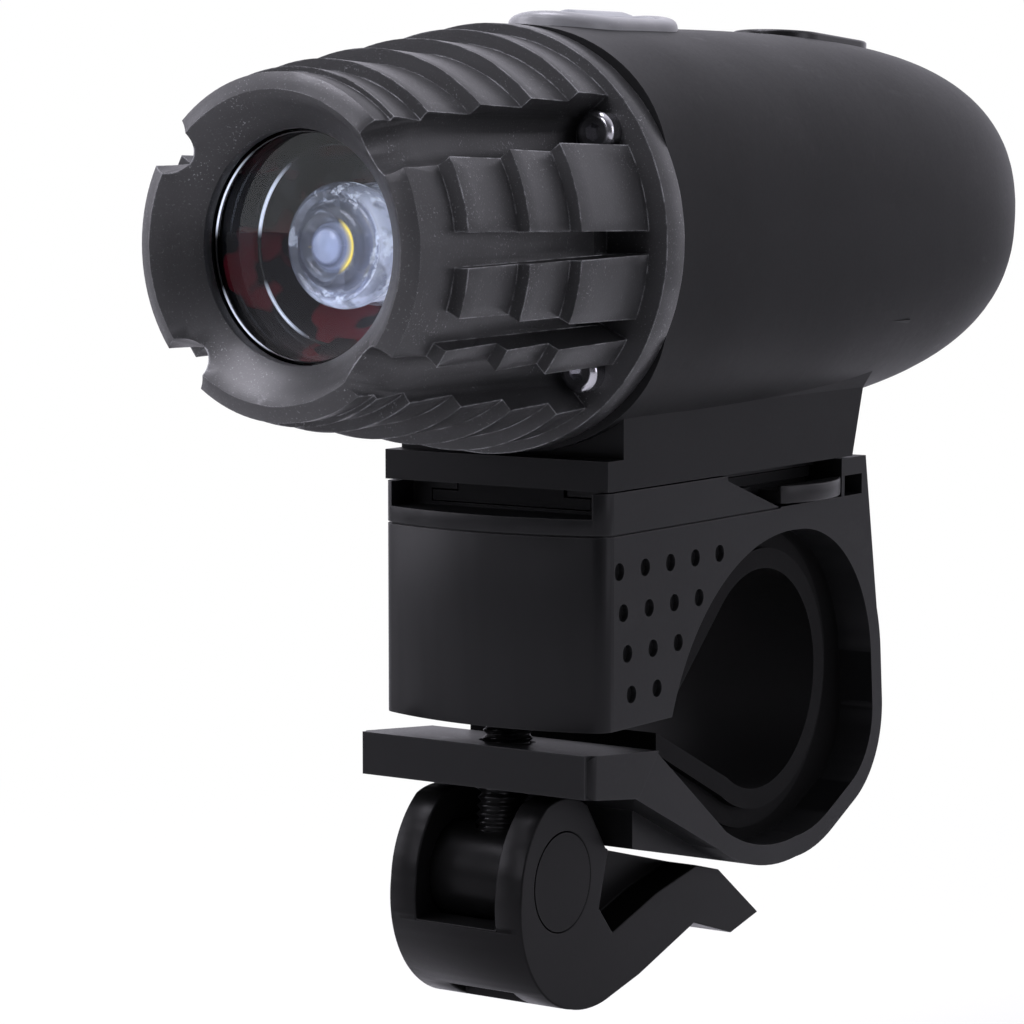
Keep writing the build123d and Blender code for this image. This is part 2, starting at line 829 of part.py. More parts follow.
def share_point(shares):
    """Point beside the opening, from shares of its radius measured from its centre."""
    return (opening_centre[0] + shares[0] * opening_radius,
            opening_centre[1] + shares[1] * opening_radius)


def moved_out(shares, distance):
    """The same point moved straight away from the opening's centre."""
    length = sqrt(shares[0] ** 2 + shares[1] ** 2)
    return share_point([share * (1 + distance / (opening_radius * length)) for share in shares])


def strap_ring(grow):
    """Round part of the opening with its squarer lower rear corner, moved out by grow."""
    angle = radians(corner_angle)
    corner = (opening_centre[0] + corner_reach * cos(angle), opening_centre[1] + corner_reach * sin(angle))
    big = Pos(*opening_centre) * Circle(opening_radius + grow)
    small = Pos(*corner) * Circle(corner_radius + grow)
    return make_hull(big.edges() + small.edges())


def seat_top(place):
    """Upper face of the lever seat at a place along Y."""
    return block_bottom - gap_height - (place - seat_front) * tan(radians(seat_slope))


def opening_face(front):
    """Opening of the clamp in side view, with its slit running forward to a place."""
    top = (opening_centre[0], opening_centre[1] + opening_radius)
    bottom = (opening_centre[0], opening_centre[1] - opening_radius)
    heel = (block_heel, block_bottom)
    bend = share_point(strap_bend_shares)
    roof = ThreePointArc(top, share_point(front_arc_shares), heel)
    slit = Polyline(heel, (front, block_bottom), (front, seat_top(front)),
                    (seat_rear, seat_top(seat_rear)), bend)
    floor = ThreePointArc(bend, share_point(strap_belly_shares), bottom)
    return strap_ring(0) + make_face(roof + slit + floor + Line(bottom, top))


def outer_face():
    """Outside of the bracket in side view."""
    bottom = (opening_centre[0], opening_centre[1] - opening_radius - strap_thickness)
    rear = (opening_centre[0] + opening_radius + strap_thickness, opening_centre[1])
    bend = moved_out(strap_bend_shares, strap_thickness)
    under = (seat_front, seat_top(seat_front) - seat_thickness)
    root = (seat_rear - strap_root_thickness, seat_top(seat_rear) - seat_thickness)
    outline = Polyline(opening_centre, rear, (rail_rear, rail_top), (mouth_rear, rail_top),
                       (mouth_rear, block_bottom), (seat_front, seat_top(seat_front)), under,
                       root, bend)
    belly = ThreePointArc(bend, moved_out(strap_belly_shares, strap_thickness), bottom)
    return strap_ring(strap_thickness) + make_face(outline + belly + Line(bottom, opening_centre))


def bowed_slab(inset, low, high):
    """Front of the block in plan, fuller at the middle and round at its corners, moved in by the inset."""
    half = bracket_half_width - inset
    front = block_front + inset
    face = ThreePointArc((-half, front), (0, front - block_bow), (half, front))
    rest = Polyline((half, front), (half, mouth_rear), (-half, mouth_rear), (-half, front))
    plan = make_face(face + rest)
    plan = fillet(plan.vertices().group_by(Axis.Y)[0], block_corner - inset)
    return Pos(0, 0, low) * extrude(plan, amount=high - low)


def seam_groove():
    """Fine groove under the rail, round the front of the block and along both sides."""
    high = block_top - seam_drop
    low = high - seam_width
    front = bowed_slab(-overrun, low, high) - bowed_slab(seam_depth, low, high)
    side = brick((bracket_half_width - seam_depth, bracket_half_width + overrun),
                 (mouth_rear, release_tab_front), (low, high))
    return joined([front] + both_sides(side))


def lever_seat_solid():
    """Wide plate under the block, on which the cam lever bears."""
    under = (seat_front, seat_top(seat_front) - seat_thickness)
    root = (seat_rear - strap_root_thickness, seat_top(seat_rear) - seat_thickness)
    outline = [(seat_front, seat_top(seat_front)), under, root, (seat_rear, seat_top(seat_rear))]
    plate = side_polygon(outline, seat_half_width)
    return fillet(plate.edges().group_by(Axis.Y)[0].filter_by(GeomType.LINE), seat_thickness / 3)


def belly_rib():
    """Narrower rib under the strap, behind the lever's cam."""
    bend = moved_out(strap_bend_shares, strap_thickness / 2)
    belly = moved_out(strap_belly_shares, strap_thickness / 2)
    top = (belly_rib_front, seat_top(belly_rib_front) - seat_thickness)
    low = (belly_rib_front, bend[1] + belly_rib_drop / 4)
    tip = moved_out(strap_belly_shares, strap_thickness)
    outline = [top, low, tip, belly, bend]
    return side_polygon(outline, belly_rib_half_width)


def channel_recess():
    """Wide recess in the front of the block, through which the tongue enters its channel."""
    return brick((-mouth_half_width, mouth_half_width), (2 * block_front, mouth_rear),
                 (rail_top - mouth_rise, rail_top + overrun))


def rail_channel():
    """T-shaped way of the tongue along the rail, open at the front."""
    low, high = tongue_levels()
    front, rear = mouth_rear - overrun, tongue_rear() + release_tab_rear_gap
    neck = tongue_neck_half_width + channel_side_gap
    head = tongue_head_half_width + channel_side_gap
    slot = brick((-neck, neck), (front, rear), (high, rail_top + overrun))
    way = brick((-head, head), (front, rear), (low - running_gap, high + running_gap))
    return slot + way


def side_window():
    """Window in the rail's right side for the release tab, with its sloping front lip."""
    rear = tongue_rear() + release_tab_rear_gap
    front = release_tab_front - release_tab_rear_gap
    outline = [(window_start, rail_top + overrun), (window_start, rail_top - window_lip),
               (front, release_tab_floor), (rear, release_tab_floor), (rear, rail_top + overrun)]
    face = Plane.YZ * make_face(Polyline(*outline, close=True))
    inner = tongue_head_half_width + channel_side_gap
    cutter = Pos(inner, 0, 0) * extrude(face, amount=bracket_half_width)
    arm_end = bracket_half_width - release_tab_arm_reach - release_tab_travel - loose_gap
    pocket = brick((arm_end, bracket_half_width), (front, rear),
                   (release_tab_floor, block_top + running_gap))
    hole_front = rear + latch_hole_web
    hole = brick((bracket_half_width - latch_hole_depth, bracket_half_width + overrun),
                 (hole_front, hole_front + latch_hole_length),
                 (release_tab_floor, release_tab_floor + latch_hole_height))
    return cutter + pocket + hole


def side_dimples():
    """Rows of grip dimples on the bracket's right side."""
    cutters = []
    for row, count in enumerate(dimple_rows):
        height = dimple_first_height - row * dimple_row_pitch
        first = dimple_first_place + row * dimple_row_shift
        for index in range(count):
            place = first + index * dimple_pitch
            hole = Pos(bracket_half_width, place, height) * Rot(0, 90, 0) * Cylinder(
                dimple_radius, 2 * dimple_depth)
            cutters.append(hole)
    return cutters


def pin_place():
    """Centre of the trunnion pin in side view, under the lever seat."""
    along = seat_front + pin_setback
    return along, seat_top(along) - seat_thickness - cam_gap - cam_radius


def nut_rise():
    """Middle of the nut above the trunnion pin, along the bolt."""
    return block_bottom - pin_place()[1] + nut_floor + nut_thickness / 2


def bolt_frame():
    """Frame at the trunnion pin whose Z axis runs up along the leaning clamp bolt."""
    return Pos(0, *pin_place()) * Rot(-bolt_tilt, 0, 0)


def nut_slot():
    """Slot for the nut, open to the rear under the liner."""
    width = nut_width + 2 * fit_gap
    height = nut_thickness + 2 * fit_gap
    reach = block_heel - pin_place()[0]
    slot = Pos(0, reach / 2, 0) * Box(width, reach, height)
    hexagon = extrude(Rot(0, 0, 30) * RegularPolygon(width / 2, 6, major_radius=False), amount=height)
    return Pos(0, 0, nut_rise()) * (slot + Pos(0, 0, -height / 2) * hexagon)


def clamp_bracket():
    """Block, rail, lever seat and strap of the handlebar clamp in one moulding."""
    body = side_solid(outer_face(), bracket_half_width) + bowed_slab(0, block_bottom, rail_top)
    body = body + lever_seat_solid()
    body = body - side_solid(opening_face(seat_front - overrun), seat_half_width + overrun)
    body = body + belly_rib()
    body = body - rail_channel() - channel_recess() - seam_groove()
    for window in both_sides(side_window()):
        body = body - window
    dimples = side_dimples()
    body = body - dimples - [mirror(dimple, Plane.YZ) for dimple in dimples]
    rise = nut_rise() + nut_thickness + bolt_over_nut
    hole = Pos(0, 0, rise / 2) * Cylinder(bolt_radius + bolt_clearance, rise)
    return body - bolt_frame() * hole - bolt_frame() * nut_slot()


def release_tab():
    """Press tab in the right-hand window: a flat arm with a round-ended outer pad."""
    front = release_tab_front
    rear = front + release_tab_length
    low = release_tab_floor + loose_gap
    inner = bracket_half_width - release_tab_arm_reach
    arm = brick((inner, bracket_half_width), (front, rear), (low, low + release_tab_arm_height))
    bulge = ThreePointArc((bracket_half_width, front),
                          (bracket_half_width + release_tab_proud, (front + rear) / 2),
                          (bracket_half_width, rear))
    inset = bracket_half_width - (release_tab_height - release_tab_arm_height)
    rest = Polyline((bracket_half_width, rear), (inset, rear), (inset, front), (bracket_half_width, front))
    pad = Pos(0, 0, low) * extrude(make_face(bulge + rest), amount=release_tab_height)
    return arm + pad


def seat_face(grow):
    """Seat and throat of the liner in side view, moved out by grow."""
    radius = seat_radius + grow
    upper, lower = radians(liner_upper_angle), radians(liner_lower_angle)
    upper_point = (radius * cos(upper), radius * sin(upper))
    lower_point = (radius * cos(lower), radius * sin(lower))
    throat_low = seat_top(block_heel) + seat_thickness / 3 - grow
    outline = [(0, 0), upper_point, (-liner_throat, block_bottom + grow),
               (2 * block_heel, block_bottom + grow), (2 * block_heel, throat_low),
               (block_heel, throat_low), lower_point]
    return Circle(radius) + make_face(Polyline(*outline, close=True))


def rubber_liner():
    """Stepped rubber liner between the strap and the handlebar."""
    reach = 4 * opening_radius
    behind_slit = Pos(block_heel + fit_gap + reach / 2, 0) * Rectangle(reach, reach)
    whole = (opening_face(seat_front) & behind_slit) - seat_face(0)
    inner = side_solid(whole & seat_face(liner_step), liner_half_width)
    middle = side_solid(whole & seat_face(2 * liner_step), liner_half_width - liner_side_step)
    outer = side_solid(whole, liner_half_width - 2 * liner_side_step)
    return inner + middle + outer


def trunnion_pin():
    """Cross pin of the lever, drilled for the clamp bolt."""
    pin = Pos(0, *pin_place()) * Rot(0, 90, 0) * Cylinder(pin_radius, 2 * lever_half_width)
    hole = Cylinder(bolt_radius, 2 * (pin_radius + overrun))
    return pin - bolt_frame() * hole


def clamp_bolt():
    """Threaded rod from the trunnion pin up to the nut in the block."""
    length = bolt_below_pin + nut_rise() + nut_thickness
    rod = Cylinder(bolt_radius, length)
    rod = chamfer(rod.edges(), bolt_radius / 6)
    return bolt_frame() * Pos(0, 0, length / 2 - bolt_below_pin) * rod


def clamp_nut():
    """Hexagon nut held in the block."""
    hexagon = Rot(0, 0, 30) * RegularPolygon(nut_width / 2, 6, major_radius=False)
    nut = Pos(0, 0, nut_rise() - nut_thickness / 2) * extrude(hexagon, amount=nut_thickness)
    hole = Pos(0, 0, nut_rise()) * Cylinder(bolt_radius, nut_thickness + overrun)
    return bolt_frame() * (nut - hole)


def lever_outline():
    """Side view of the cam lever, measured from its pin, as shares of the cam's radius."""
    tail = [share_of_cam(shares) for shares in lever_tail_shares]
    back = [share_of_cam(shares) for shares in lever_back_shares]
    front = (-cam_front_radius, 0)
    crown = on_cam(-crown_front_angle, cam_radius)
    rear_crown = on_cam(crown_rear_angle, cam_radius)
    bend = on_cam(-cam_bend_angle, cam_bend_share * cam_front_radius)
    chin = share_of_cam(lever_chin_shares)
    belly_start, belly_middle, belly_end = [share_of_cam(shares) for shares in lever_belly_shares]
    line = ThreePointArc(rear_crown, (0, cam_radius), crown) + ThreePointArc(crown, bend, front)
    line = line + ThreePointArc(front, chin, belly_start)
    line = line + ThreePointArc(belly_start, belly_middle, belly_end)
    return line + Polyline(belly_end, *tail, *back, rear_crown)


def on_cam(angle, radius):
    """Point round the pin, at an angle towards the rear from straight up."""
    return (radius * sin(radians(angle)), radius * cos(radians(angle)))


def share_of_cam(shares):
    """Point of the lever from shares of the cam's radius."""
    return (shares[0] * cam_radius, shares[1] * cam_radius)


def lever_side_pocket():
    """Hollow in the right side of the lever's arm, which leaves a middle web."""
    points = [share_of_cam(shares) for shares in lever_hollow_shares]
    face = Plane.YZ * make_face(Polyline(*points, close=True))
    return Pos(lever_web_half_width, 0, 0) * extrude(face, amount=lever_half_width)


def fork_cutter():
    """Gap between the lever's ears, with room for the bolt as the lever swings."""
    round_part = Rot(0, 90, 0) * Cylinder(pin_radius + loose_gap, 2 * fork_half_gap)
    rear = pin_radius + 2 * loose_gap
    top = 2 * cam_radius
    outline = [(-2 * cam_radius, -lever_lip_drop), (0, -lever_lip_drop), (rear, 0), (rear, top),
               (-2 * cam_radius, top)]
    return round_part + side_polygon(outline, fork_half_gap)


def cam_lever():
    """Forked cam lever that draws the strap's seat up to the block."""
    lever = side_solid(make_face(lever_outline()), lever_half_width)
    lever = lever - fork_cutter()
    for pocket in both_sides(lever_side_pocket()):
        lever = lever - pocket
    lever = lever - Rot(0, 90, 0) * Cylinder(pin_radius + pin_clearance, 2 * lever_half_width + overrun)
    half = lever_recess_width / 2
    foot = lever_chin_shares[1] * cam_radius
    recess = brick((-half, half), (-lever_recess_length, 0), (2 * foot, foot - lever_recess_depth))
    return Pos(0, *pin_place()) * (lever - recess)


def main():
    """Write one file for each named piece."""
    os.makedirs("parts", exist_ok=True)
    tab = release_tab()
    light = {
        "head_housing": head_housing(), "lens_seal": lens_seal(), "lens_optic": lens_optic(),
        "lens_holder": lens_holder(), "led_emitter": led_emitter(), "led_board": led_board(),
        "heat_plate": heat_plate(), "head_screws": head_screws(), "body_seal": body_seal(),
        "rear_body": rear_body(), "button_surround": button_surround(),
        "power_button": power_button(), "tactile_switch": tactile_switch(),
        "control_board": control_board(), "usb_socket": usb_socket(), "port_cover": port_cover(),
        "battery_cell": battery_cell(), "battery_cradle": battery_cradle(),
        "battery_tabs": battery_tabs(),
    }
    pieces = {name: set_on_clamp(shape) for name, shape in light.items()}
    pieces.update({
        "clamp_bracket": clamp_bracket(), "release_tab_right": tab,
        "release_tab_left": mirror(tab, Plane.YZ), "rubber_liner": rubber_liner(),
        "clamp_nut": clamp_nut(), "clamp_bolt": clamp_bolt(), "trunnion_pin": trunnion_pin(),
        "cam_lever": cam_lever(),
    })
    for name, shape in pieces.items():
        export_step(shape, f"parts/{name}.step")


main()
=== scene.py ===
"""Bicycle headlight on its handlebar clamp: finishes, lens details, studio and camera."""
from __future__ import annotations

import logging
import math
from dataclasses import dataclass, field
from enum import Enum
from typing import Any, Iterable, Mapping, Sequence

import bmesh
import bpy
from mathutils import Matrix, Vector

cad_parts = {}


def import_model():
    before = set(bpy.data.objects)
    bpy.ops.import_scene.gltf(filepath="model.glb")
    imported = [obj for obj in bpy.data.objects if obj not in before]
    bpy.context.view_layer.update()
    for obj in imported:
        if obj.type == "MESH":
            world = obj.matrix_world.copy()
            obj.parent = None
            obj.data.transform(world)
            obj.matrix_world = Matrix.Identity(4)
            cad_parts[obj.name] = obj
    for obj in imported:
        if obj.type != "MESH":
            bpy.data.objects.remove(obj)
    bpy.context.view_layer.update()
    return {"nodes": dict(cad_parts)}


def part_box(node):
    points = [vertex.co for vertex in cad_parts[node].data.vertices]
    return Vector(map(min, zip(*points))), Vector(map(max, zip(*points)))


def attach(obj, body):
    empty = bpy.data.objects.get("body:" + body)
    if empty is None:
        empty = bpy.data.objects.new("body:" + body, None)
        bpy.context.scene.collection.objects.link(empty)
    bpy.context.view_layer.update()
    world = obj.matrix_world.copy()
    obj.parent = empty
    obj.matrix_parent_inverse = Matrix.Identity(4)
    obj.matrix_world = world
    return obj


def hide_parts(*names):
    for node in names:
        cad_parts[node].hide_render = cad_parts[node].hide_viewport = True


LOG = logging.getLogger("headlight")
MILLIMETRE = 0.001
Colour = tuple[float, float, float]
Levels = tuple[float, float]
WHITE: Colour = (1.0, 1.0, 1.0)
BLACK: Colour = (0.0, 0.0, 0.0)


def grey(level: float, warm: float = 0.0) -> Colour:
    """Linear colour of a grey given as a screen level from 0 to 255, slightly warm or cool.

    Args:
        level: Screen level of the grey.
        warm: Share by which red rises and blue falls.

    Returns:
        The linear red, green and blue.
    """
    share = level / 255.0
    linear = share / 12.92 if share <= 0.04045 else ((share + 0.055) / 1.055) ** 2.4
    return (linear * (1 + warm), linear, linear * (1 - warm))


def scaled(colour: Colour, share: float) -> Colour:
    """A colour made darker or brighter by a share."""
    return tuple(part * share for part in colour)


class Maths(Enum):
    """What a Math node works out."""

    SUM = "ADD"
    DIFFERENCE = "SUBTRACT"
    PRODUCT = "MULTIPLY"
    QUOTIENT = "DIVIDE"
    POWER = "POWER"
    HIGHEST = "MAXIMUM"
    LOWEST = "MINIMUM"


class Value:
    """A shader socket that can be used in sums, so that maths reads as maths."""

    def __init__(self, graph: "Graph", socket: bpy.types.NodeSocket) -> None:
        """Keep the graph and the socket."""
        self.graph = graph
        self.socket = socket

    def _maths(self, operation: Maths, left: Any, right: Any) -> "Value":
        """Add one Math node and return its result."""
        node = self.graph.add("ShaderNodeMath", {"operation": operation.value}, {0: left, 1: right})
        return Value(self.graph, node.outputs[0])

    def __add__(self, other: Any) -> "Value":
        """Sum of the two."""
        return self._maths(Maths.SUM, self, other)

    def __radd__(self, other: Any) -> "Value":
        """Sum of the two, the other way round."""
        return self._maths(Maths.SUM, other, self)

    def __sub__(self, other: Any) -> "Value":
        """Difference of the two."""
        return self._maths(Maths.DIFFERENCE, self, other)

    def __rsub__(self, other: Any) -> "Value":
        """Difference of the two, the other way round."""
        return self._maths(Maths.DIFFERENCE, other, self)

    def __mul__(self, other: Any) -> "Value":
        """Product of the two."""
        return self._maths(Maths.PRODUCT, self, other)

    def __rmul__(self, other: Any) -> "Value":
        """Product of the two, the other way round."""
        return self._maths(Maths.PRODUCT, other, self)

    def __pow__(self, other: Any) -> "Value":
        """Power of the first."""
        return self._maths(Maths.POWER, self, other)

    def __truediv__(self, other: Any) -> "Value":
        """Quotient of the two."""
        return self._maths(Maths.QUOTIENT, self, other)

    def highest(self, other: Any) -> "Value":
        """The larger of the two."""
        return self._maths(Maths.HIGHEST, self, other)

    def lowest(self, other: Any) -> "Value":
        """The smaller of the two."""
        return self._maths(Maths.LOWEST, self, other)


@dataclass(frozen=True)
class Spots:
    """Soft-edged spots: noise of one size that is cut between two levels."""

    size_mm: float
    levels: Levels
    detail: float = 3.0
    roughness: float = 0.6
    stretch: tuple[float, float, float] = (1.0, 1.0, 1.0)


class Graph:
    """A node tree that is filled from Python, of a material or of the world."""

    def __init__(self, owner: bpy.types.Material | bpy.types.World, output: str) -> None:
        """Empty the owner's tree and give it its output node."""
        owner.use_nodes = True
        self.tree = owner.node_tree
        self.tree.nodes.clear()
        self.output = self.tree.nodes.new(output)

    def add(self, kind: str, settings: Mapping[str, Any], values: Mapping[Any, Any]) -> bpy.types.Node:
        """Add a node, set its settings first, then its sockets.

        Args:
            kind: The node's type.
            settings: Attributes of the node; "stops" fills a colour ramp.
            values: Numbers, colours or links for its input sockets.

        Returns:
            The new node.
        """
        node = self.tree.nodes.new(kind)
        for name, setting in settings.items():
            if name == "stops":
                self._set_stops(node, setting)
            else:
                setattr(node, name, setting)
        for key, value in values.items():
            self.connect(node.inputs[key], value)
        return node

    @staticmethod
    def _set_stops(node: bpy.types.Node, stops: Sequence[tuple[float, Colour]]) -> None:
        """Fill a colour ramp with places and colours."""
        ramp = node.color_ramp
        while len(ramp.elements) < len(stops):
            ramp.elements.new(0.5)
        for element, (place, colour) in zip(ramp.elements, stops):
            element.position = place
            element.color = (*colour, 1.0)

    def connect(self, target: bpy.types.NodeSocket, value: Any) -> None:
        """Link a value to a socket, or write a number or colour into it."""
        if isinstance(value, Value):
            self.tree.links.new(value.socket, target)
        elif isinstance(value, bpy.types.NodeSocket):
            self.tree.links.new(value, target)
        elif isinstance(value, tuple) and target.type == "RGBA":
            target.default_value = (*value, 1.0)
        else:
            target.default_value = value

    def ramp(self, value: Any, levels: Levels, results: Levels = (0.0, 1.0)) -> Value:
        """Smooth step from one result to the other between two levels of a value.

        Args:
            value: The value.
            levels: Levels at which the step starts and ends.
            results: Results below the first level and above the second.

        Returns:
            The stepped value.
        """
        node = self.add("ShaderNodeMapRange", {"interpolation_type": "SMOOTHSTEP"}, {
            "Value": value, "From Min": levels[0], "From Max": levels[1],
            "To Min": results[0], "To Max": results[1]})
        return Value(self, node.outputs[0])

    def dot(self, first: Any, second: Any) -> Value:
        """Dot product of two vectors."""
        node = self.add("ShaderNodeVectorMath", {"operation": "DOT_PRODUCT"}, {0: first, 1: second})
        return Value(self, node.outputs["Value"])

    def choose(self, share: Any, first: bpy.types.NodeSocket,
               second: bpy.types.NodeSocket) -> bpy.types.NodeSocket:
        """Mix two shaders by the share of the second."""
        return self.add("ShaderNodeMixShader", {}, {0: share, 1: first, 2: second}).outputs[0]

    def finish(self, shader: bpy.types.NodeSocket) -> None:
        """Join a shader to the output."""
        self.connect(self.output.inputs[0], shader)


class MaterialGraph(Graph):
    """The node tree of one material."""

    edge_samples = 6
    edge_levels: Levels = (0.985, 0.86)
    mix_share, mix_first, mix_second, mix_result = 0, 6, 7, 2

    def __init__(self, name: str) -> None:
        """Make an empty material with its output."""
        self.material = bpy.data.materials.new(name)
        super().__init__(self.material, "ShaderNodeOutputMaterial")

    def place(self) -> bpy.types.NodeSocket:
        """Position on the object in metres."""
        return self.add("ShaderNodeTexCoord", {}, {}).outputs["Object"]

    def along(self) -> tuple[Value, Value, Value]:
        """The three parts of the position on the object, in millimetres."""
        node = self.add("ShaderNodeSeparateXYZ", {}, {0: self.place()})
        return tuple(Value(self, part) / MILLIMETRE for part in node.outputs)

    def polar(self, height_mm: float) -> tuple[Value, Value, Value]:
        """Place round a line along Y at a height.

        Args:
            height_mm: Height of the line in millimetres.

        Returns:
            The distance across, the height over the line, and the radius, in millimetres.
        """
        across, _, high = self.along()
        up = high - height_mm
        return across, up, (across * across + up * up) ** 0.5

    def noise(self, size_mm: float, detail: float = 2.0, roughness: float = 0.5,
              stretch: tuple[float, float, float] = (1.0, 1.0, 1.0)) -> Value:
        """Noise whose blobs are about the given size.

        Args:
            size_mm: Width of a blob in millimetres.
            detail: Number of finer layers.
            roughness: Weight of the finer layers.
            stretch: Scale of the noise along each axis.

        Returns:
            The noise from 0 to 1.
        """
        mapping = self.add("ShaderNodeMapping", {}, {"Vector": self.place(), "Scale": stretch})
        node = self.add("ShaderNodeTexNoise", {}, {
            "Vector": mapping.outputs[0], "Scale": 1.0 / (size_mm * MILLIMETRE),
            "Detail": detail, "Roughness": roughness})
        return Value(self, node.outputs[0])

    def spots(self, spots: Spots) -> Value:
        """Mask that is 1 in the spots."""
        noise = self.noise(spots.size_mm, spots.detail, spots.roughness, spots.stretch)
        return self.ramp(noise, spots.levels)

    def mix(self, share: Any, first: Any, second: Any) -> bpy.types.NodeSocket:
        """Mix two colours by a share.

        Args:
            share: Share of the second colour.
            first: First colour or link.
            second: Second colour or link.

        Returns:
            The mixed colour.
        """
        node = self.add("ShaderNodeMix", {"data_type": "RGBA"}, {
            self.mix_share: share, self.mix_first: first, self.mix_second: second})
        return node.outputs[self.mix_result]

    def edge_mask(self, radius_mm: float) -> Value:
        """Mask that is 1 on sharp outer edges and 0 on flat stretches."""
        bevel = self.add("ShaderNodeBevel", {"samples": self.edge_samples},
                         {"Radius": radius_mm * MILLIMETRE})
        geometry = self.add("ShaderNodeNewGeometry", {}, {})
        return self.ramp(self.dot(bevel.outputs[0], geometry.outputs["Normal"]), self.edge_levels)

    def bump(self, height: Value, strength: float, depth_mm: float) -> bpy.types.NodeSocket:
        """Normal roughened by a height.

        Args:
            height: Height from 0 to 1.
            strength: Strength of the bump.
            depth_mm: Depth of the bump in millimetres.

        Returns:
            The bumped normal.
        """
        node = self.add("ShaderNodeBump", {}, {
            "Strength": strength, "Distance": depth_mm * MILLIMETRE, "Height": height})
        return node.outputs[0]

    def surface(self, values: Mapping[str, Any]) -> None:
        """Add the main shader with its values and join it to the output."""
        self.finish(self.add("ShaderNodeBsdfPrincipled", {}, values).outputs[0])


class Finish:
    """What the finishes share: each has a name and draws itself on a material's graph."""

    name: str

    def material(self) -> bpy.types.Material:
        """Make the material.

        Returns:
            The finished material.
        """
        graph = MaterialGraph(self.name)
        self.draw(graph)
        return graph.material

    def draw(self, graph: MaterialGraph) -> None:
        """Draw the finish on the material's graph."""
        raise NotImplementedError


@dataclass(frozen=True)
class PaintedCasting(Finish):
    """Dark flecked paint over cast metal, bright on its edges from wear and from a painted edge highlight."""

    name: str = "head_paint"
    base: Colour = grey(56, -0.02)
    deep: Colour = grey(38)
    # Colour of bare metal at the edges, which is also a painted edge highlight.
    rubbed_and_glint: Colour = grey(176, -0.02)
    grain_mm: float = 0.2
    grain_strength: float = 0.3
    grain_depth_mm: float = 0.05
    fleck_levels: Levels = (0.6, 0.7)
    fleck_share: float = 0.1
    fleck_shine: float = 0.14
    patches: Spots = Spots(5.0, (0.5, 0.62))
    patch_share: float = 0.3
    cloud_mm: float = 7.0
    cloud_change: float = 0.14
    edge_mm: float = 0.3
    wear_and_glint_mm: float = 2.2
    wear_and_glint_levels: Levels = (0.4, 0.58)
    wear_and_glint_share: float = 0.6
    wear_shine: float = 0.1
    roughness: float = 0.42
    metallic: float = 0.3
    gloss: float = 0.45

    def draw(self, graph: MaterialGraph) -> None:
        """Draw the cloudy paint, its flecks and its edges, bright from wear and from a painted highlight."""
        grain = graph.noise(self.grain_mm, 3.0, 0.6)
        cloud = graph.noise(self.cloud_mm, 3.0)
        fleck = graph.ramp(grain, self.fleck_levels)
        patch = graph.spots(self.patches)
        # Edge mask for bare metal showing through the paint and for a painted edge highlight.
        rubbing_and_glint = graph.edge_mask(self.edge_mm) * graph.noise(self.wear_and_glint_mm, 4.0, 0.65)
        worn_and_glint = graph.ramp(rubbing_and_glint, self.wear_and_glint_levels)
        bright = fleck * (self.fleck_share + patch * self.patch_share) + worn_and_glint * self.wear_and_glint_share
        shade = graph.mix(cloud, self.base, self.deep)
        shade = graph.mix(bright.lowest(1.0), shade, self.rubbed_and_glint)
        roughness = self.roughness - fleck * self.fleck_shine - worn_and_glint * self.wear_shine
        graph.surface({"Base Color": shade, "Roughness": roughness + (cloud - 0.5) * self.cloud_change,
                       "Metallic": self.metallic, "Specular IOR Level": self.gloss,
                       "Normal": graph.bump(grain, self.grain_strength, self.grain_depth_mm)})


@dataclass(frozen=True)
class MouldedPlastic(Finish):
    """Dark moulded plastic with a fine matt grain and a faint painted highlight on its edges."""

    name: str
    base: Colour
    roughness: float = 0.5
    grain_mm: float = 0.3
    grain_strength: float = 0.12
    edge_highlight_share: float = 0.12
    edge_highlight: Colour = grey(96)
    gloss: float = 0.13
    edge_mm: float = 0.25
    grain_depth_mm: float = 0.04
    grain_change: float = 0.08
    cloud_mm: float = 13.0
    cloud_share: float = 0.5
    cloud_gain: float = 1.5
    cloud_change: float = 0.12
    scuffs: Spots = Spots(3.5, (0.6, 0.75), 4.0, 0.7, (1.0, 0.35, 1.0))
    scuff_shine: float = 0.06

    def draw(self, graph: MaterialGraph) -> None:
        """Draw the cloudy plastic, its grain, scuffs and the painted highlight on its edges."""
        grain = graph.noise(self.grain_mm, 2.0, 0.55)
        cloud = graph.noise(self.cloud_mm, 3.0)
        shade = graph.mix(cloud * self.cloud_share, self.base, scaled(self.base, self.cloud_gain))
        # Painted highlight: sharp edges are mixed towards a lighter grey.
        if self.edge_highlight_share:
            shade = graph.mix(graph.edge_mask(self.edge_mm) * self.edge_highlight_share, shade, self.edge_highlight)
        roughness = self.roughness + (cloud - 0.5) * self.cloud_change + (grain - 0.5) * self.grain_change
        roughness = roughness - graph.spots(self.scuffs) * self.scuff_shine
        graph.surface({"Base Color": shade, "Roughness": roughness, "Specular IOR Level": self.gloss,
                       "Normal": graph.bump(grain, self.grain_strength, self.grain_depth_mm)})


@dataclass(frozen=True)
class PlainMetal(Finish):
    """Bare or plated metal with fine handling marks."""

    name: str
    base: Colour
    roughness: float = 0.28
    mark_mm: float = 1.2
    mark_share: float = 0.4
    mark_shade: float = 0.6
    mark_change: float = 0.16
    mark_strength: float = 0.08
    mark_depth_mm: float = 0.02

    def draw(self, graph: MaterialGraph) -> None:
        """Draw the metal and its marks."""
        marks = graph.noise(self.mark_mm, 4.0, 0.65)
        shade = graph.mix(marks * self.mark_share, self.base, scaled(self.base, self.mark_shade))
        graph.surface({"Base Color": shade, "Metallic": 1.0,
                       "Roughness": self.roughness + (marks - 0.5) * self.mark_change,
                       "Normal": graph.bump(marks, self.mark_strength, self.mark_depth_mm)})


